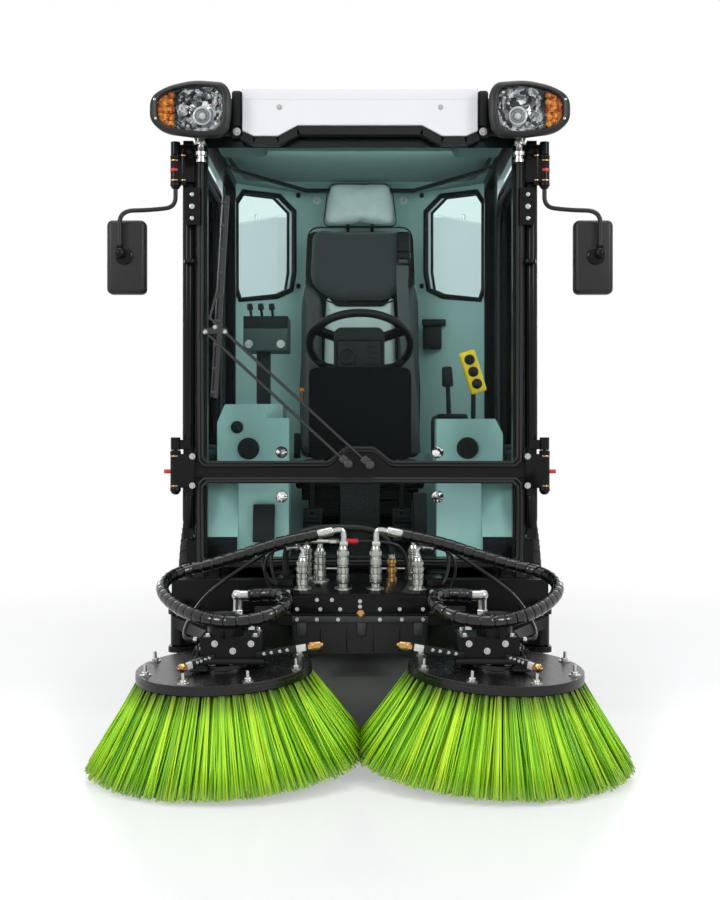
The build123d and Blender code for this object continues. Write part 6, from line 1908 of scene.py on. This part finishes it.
# ---- Engine, tanks and cowl ----------------------------------------------------------------------
# A diesel engine with finned sump, rocker cover, manifold, filters and pulleys; two moulded side tanks
# under steel straps with their caps and level tubes; a louvred cowl with quarter-turn latches.
engine = bmesh.new()
for side in (-1, 1):
    for y in range(1790, 2140, 26):
        box_in(engine, (side * 213, y, 600), (side * 226, y + 9, 830), 2)
    for y in (1830, 1930, 2030, 2120):
        rod_in(engine, (side * 214, y, 868), (side * 240, y, 868), 17, 15, 18, edge=3)
for y in range(1800, 2110, 90):
    box_in(engine, (-150, y, 905), (150, y + 76, 938), 10, segments=3)
for x, z, r in ((0, 640, 82), (-130, 800, 48), (130, 790, 56)):
    rod_in(engine, (x, 1762, z), (x, 1738, z), r, r, 36, edge=4)
    rod_in(engine, (x, 1740, z), (x, 1726, z), r * 0.5, r * 0.45, 24, edge=3)
rod_in(engine, (-150, 2150, 720), (-150, 2240, 720), 52, 52, 30, edge=8)
rod_in(engine, (90, 2150, 800), (90, 2300, 800), 70, 70, 36, edge=10)
put("engine_castings", engine, engine_iron, "rear", "engine_iron", 30)
belt_loop = bmesh.new()
bead_in(belt_loop, [(-82, 1750, 640), (-58, 1750, 582), (0, 1750, 558), (58, 1750, 582), (82, 1750, 640),
                    (186, 1750, 790), (170, 1750, 832), (130, 1750, 846), (-130, 1750, 848),
                    (-170, 1750, 826), (-178, 1750, 800)], 8, 6)
put("engine_belt", belt_loop, seal_rubber, "rear", "hose_rubber", 50)
exhaust = bmesh.new()
bead_in(exhaust, [(238, 1870, 868), (262, 1900, 868), (262, 2100, 868), (262, 2170, 830), (262, 2200, 760)],
        24, 18, closed=False)
rod_in(exhaust, (262, 2200, 770), (262, 2200, 590), 40, 40, 30, edge=10)
put("engine_exhaust", exhaust, engine_iron, "rear", "engine_iron", 50)
straps = bmesh.new()
caps = bmesh.new()
ribs = bmesh.new()
for side in (-1, 1):
    for y in (1690, 1830):
        for low, high in (((284, y - 14, 903), (571, y + 14, 908)), ((573, y - 14, 480), (578, y + 14, 876)),
                          ((284, y - 14, 446), (571, y + 14, 452))):
            box_in(straps, (side * low[0], *low[1:]), (side * high[0], *high[1:]), 1.2)
        rod_in(straps, (side * 500, y, 905), (side * 500, y, 920), 7, 7, 6)
    turned_in(caps, [(0.01, 30), (30, 29), (34, 25), (35, 8), (42, 6), (44, -4), (0.01, -4)],
              upright(side * 430, 1760, 905), 32)
    for turn in range(12):
        angle = 2 * pi * turn / 12
        rod_in(caps, (side * 430 + 34 * cos(angle), 1760 + 34 * sin(angle), 914),
               (side * 430 + 34 * cos(angle), 1760 + 34 * sin(angle), 930), 4, 3.4, 10)
    for z in (560, 660, 760):
        box_in(ribs, (side * 572, 1712, z), (side * 580, 1808, z + 46), 4)
    for z in (520, 800):
        box_in(caps, (side * 572, 1856, z), (side * 584, 1872, z + 26), 4)
put("tank_straps", straps, black_coat, "rear", "frame_black")
put("tank_caps", caps, dark_trim, "rear", "trim_grey", 30)
put("tank_ribs", ribs, dark_trim, "rear", "trim_grey")
gauge = bmesh.new()
for side in (-1, 1):
    rod_in(gauge, (side * 580, 1864, 540), (side * 580, 1864, 806), 4.5, 4.5, 14)
put("tank_gauges", gauge, bulb_white, "rear", "tinted_glass", 40)
louvres = bmesh.new()
for side in (-1, 1):
    for z in range(600, 860, 34):
        box_in(louvres, (side * 556, 2760, z), (side * 566, 2890, z + 18), 4)
for z in range(570, 860, 40):
    box_in(louvres, (-402, 2930, z + 2), (402, 2946, z + 9), 2, Matrix.Rotation(radians(-30), 4, "X"))
box_in(louvres, (-404, 2926, 566), (404, 2929, 856), 0.6)
put("cowl_louvres", louvres, dark_trim, "rear", "trim_grey")
latches = bmesh.new()
for side in (-1, 1):
    for z in (580, 840):
        face_back = facing(side * 470, 2950, z, turn=-90)
        turned_in(latches, [(17, -2), (17, 3), (13, 5), (0.01, 5)], face_back, 24)
        box_in(latches, (side * 470 - 3, 2954, z - 12), (side * 470 + 3, 2960, z + 12), 1.5)
put("cowl_latches", latches, zinc, "rear", "cylinder_steel")

# ---- Rear lamps ----------------------------------------------------------------------------------
# Black housings with a red tail lens, an amber indicator lens and a clear reversing lens, each moulded
# with upright flutes.
red_lens = powder_coat("red_lamp_lens", (0.55, 0.008, 0.008), 0.12, mottle=0.15, patch=30, peel=0.05,
                       coat=0.6)
REAR_LAMP_X = 430


def fluted_lens(shape, side, near, far):
    """One lens with upright flutes, between two distances from the lamp's inner end."""
    start, end = sorted((side * (REAR_LAMP_X + near), side * (REAR_LAMP_X + far)))
    box_in(shape, (start, 3079, 420), (end, 3088.5, 486), 3)
    for number in range(int((far - near) / 6)):
        x = start + 4 + number * 6
        rod_in(shape, (x, 3088, 426), (x, 3088, 480), 2.4, 2.4, 8)


housings = bmesh.new()
reds = bmesh.new()
ambers = bmesh.new()
clears = bmesh.new()
for side in (-1, 1):
    box_in(housings, (side * REAR_LAMP_X, 3062, 412), (side * (REAR_LAMP_X + 110), 3082, 494), 8, segments=3)
    fluted_lens(reds, side, 6, 46)
    fluted_lens(ambers, side, 49, 79)
    fluted_lens(clears, side, 82, 104)
put("rear_lamp_housings", housings, housing_grey, "rear", None, 35, "rear_lamps")
put("rear_lamp_red", reds, red_lens, "rear", "lamp_red", 35)
put("rear_lamp_amber", ambers, amber, "rear", "lamp_red", 35)
put("rear_lamp_clear", clears, bulb_white, "rear", "lamp_body", 35)

# ---- Hopper --------------------------------------------------------------------------------------
# A folded and welded sheet-steel box in white: pressed side ribs, black lower rails, a side inspection
# hatch, a fan outlet on the roof, lifting eyes and the flange that the suction elbow feeds.
panels = bmesh.new()
for side in (-1, 1):
    for y in (1860, 2120, 2530, 2790, 2990):
        box_in(panels, (side * 574, y - 24, 1030), (side * 590, y + 24, 1930), 7, segments=3)
    box_in(panels, (side * 574, 2190, 1330), (side * 592, 2460, 1700), 9, segments=3)
    box_in(panels, (side * 574, 1836, 1946), (side * 586, 3014, 1962), 4)
for y in (1760, 1960, 2640, 2860):
    box_in(panels, (-470, y - 22, 1972), (470, y + 22, 1991), 7, segments=3)
put("hopper_ribs", panels, body_white, "hopper", "body_white", 30)
rails = bmesh.new()
for side in (-1, 1):
    box_in(rails, (side * 574, 1836, 986), (side * 588, 3046, 1012), 4)
    for z in (1400, 1630):
        box_in(rails, (side * 588, 2180, z - 22), (side * 602, 2204, z + 22), 4)
    box_in(rails, (side * 590, 2436, 1490), (side * 606, 2470, 1540), 5)
    bead_in(rails, [(side * 585, y, z) for y, z in rounded([(2184, 1324), (2466, 1324), (2466, 1706),
                                                            (2184, 1706)], 14, 3)],
            6, 8)
box_in(rails, (-380, 1612, 988), (380, 1622, 1014), 4)
face_front = facing(0, 1620, 1170)
turned_in(rails, [(89, -2), (89, 7), (118, 7), (120, 4), (120, -2)], face_front, 48)
put("hopper_rails", rails, black_coat, "hopper", "frame_black", 30)
outlet = bmesh.new()
vent = upright(0, 2300, 1980)
turned_in(outlet, [(210, -4), (210, 20), (202, 26), (176, 26), (170, 20), (170, -2)], vent, 64)
turned_in(outlet, [(0.01, 22), (40, 21), (46, 14), (46, 2)], vent, 32)
turned_in(outlet, [(168, -2), (0.01, 2)], vent, 40)
for turn in range(18):
    spread = around(vent, 2 * pi * turn / 18, (0.108, 0, 0.012))
    rib_in(outlet, (0.130, 0.026, 0.003), spread @ Matrix.Rotation(radians(38), 4, "X"))
for radius in (80, 125):
    turned_in(outlet, [(radius - 2, 22), (radius + 2, 22), (radius + 2, 26), (radius - 2, 26),
                       (radius - 2, 22)], vent, 48)
put("hopper_fan_outlet", outlet, dark_trim, "hopper", "trim_grey", 30)
eyes = bmesh.new()
for side in (-1, 1):
    for y in (1880, 2960):
        box_in(eyes, (side * 500 - 22, y - 30, 1975), (side * 500 + 22, y + 30, 1986), 3)
        eye = upright(side * 500, y, 2002) @ Matrix.Rotation(radians(90), 4, "Y")
        turned_in(eyes, [(12, -6), (24, -6), (26, 0), (24, 6), (12, 6), (10, 0), (12, -6)], eye, 32)
    for y in (1860, 2120, 2530, 2790):
        for z in (1050, 1910):
            spot = sideways(side, 590, y, z)
            hex_bolt(eyes, spot, 13, 6)
    spot = sideways(side, 604, 2453, 1515)
    hex_bolt(eyes, spot, 18, 8)
for turn in range(8):
    angle = 2 * pi * (turn + 0.5) / 8
    spot = facing(105 * cos(angle), 1613, 1170 + 105 * sin(angle))
    hex_bolt(eyes, spot, 13, 6)
put("hopper_eyes_and_bolts", eyes, zinc, "hopper", "cylinder_steel", 35)

# ---- Tailgate ------------------------------------------------------------------------------------
# A pressed white door hung from the hopper's top on two hinge arms, with a rubber seal, stiffening
# swages, two over-centre latches, corner reflectors and a drain cock.
gate = bmesh.new()
for side in (-1, 1):
    box_in(gate, (side * 300, 3084, 1150), (side * 360, 3098, 1820), 8, segments=3)
box_in(gate, (-500, 3084, 1850), (500, 3097, 1896), 7, segments=3)
box_in(gate, (-230, 3084, 1180), (230, 3096, 1790), 9, segments=3)
put("tailgate_swages", gate, body_white, "tailgate", "body_white", 30)
gate_fit = bmesh.new()
gate_zinc = bmesh.new()
gate_red = bmesh.new()
bead_in(gate_fit, [(x, 3057, z) for x, z in rounded([(-560, 1004), (560, 1004), (560, 1914), (-560, 1914)],
                                                    20, 3)], 3.5, 8)
for side in (-1, 1):
    for z in (1110, 1640):
        xs = sorted((side * 520, side * 562))
        box_in(gate_fit, (xs[0], 3088, z), (xs[1], 3102, z + 110), 5)
        box_in(gate_fit, (side * 541 - 7, 3100, z + 12), (side * 541 + 7, 3112, z + 96), 4)
        rod_in(gate_zinc, (xs[0] - 4, 3100, z + 92), (xs[1] + 4, 3100, z + 92), 6, 6, 16)
    face_back = facing(side * 470, 3089, 1036, turn=-90)
    turned_in(gate_red, [(32, -2), (32, 4), (28, 7), (26, 7), (25, 5), (0.01, 6)], face_back, 36)
    turned_in(gate_fit, [(36, -2), (36, 5), (33, 7), (32, 4)], face_back, 36)
    for z in (1900, 1925):
        for x in (275, 301):
            spot = facing(side * x, 3090, z, turn=-90)
            hex_bolt(gate_zinc, spot, 13, 6)
rod_in(gate_zinc, (0, 3090, 1024), (0, 3112, 1024), 14, 12, edge=3)
rod_in(gate_zinc, (-24, 3106, 1024), (24, 3106, 1024), 4)
box_in(gate_fit, (-112, 3088, 1044), (112, 3094, 1100), 5)
put("tailgate_fittings", gate_fit, dark_trim, "tailgate", "frame_black", 35)
put("tailgate_zinc", gate_zinc, zinc, "tailgate", "rod_chrome", 35)
put("tailgate_reflectors", gate_red, red_lens, "tailgate", "lamp_red", 35)

# ---- Duct clamps ---------------------------------------------------------------------------------
# Worm-drive steel bands and rolled flanges that hold the suction duct's lengths together, on the upright
# duct behind the cab and on the low one below the front axle.
bands = bmesh.new()
for z in (600, 640, 990, 1030):
    turned_in(bands, [(84, -9), (88, -9), (89, 0), (88, 9), (84, 9)], upright(0, 1450, z), 56)
    box_in(bands, (84, 1438, z - 9), (100, 1462, z + 9), 2)
    rod_in(bands, (92, 1426, z), (92, 1474, z), 4, 4, 12)
for y in (1572, 1590):
    across = facing(0, y, 1170)
    turned_in(bands, [(84, -4), (87.5, -4), (87.5, 4), (84, 4)], across, 56)
put("duct_clamps", bands, zinc, "rear", "duct_steel", 35)
low_bands = bmesh.new()
for y in (520, 700, 980, 1200):
    across = facing(0, y, 214)
    turned_in(low_bands, [(84, -8), (89, -8), (90, 0), (89, 8), (84, 8)], across, 56)
    box_in(low_bands, (-12, y - 8, 298), (12, y + 8, 310), 2)
put("low_duct_clamps", low_bands, zinc, "front", "duct_steel", 35)
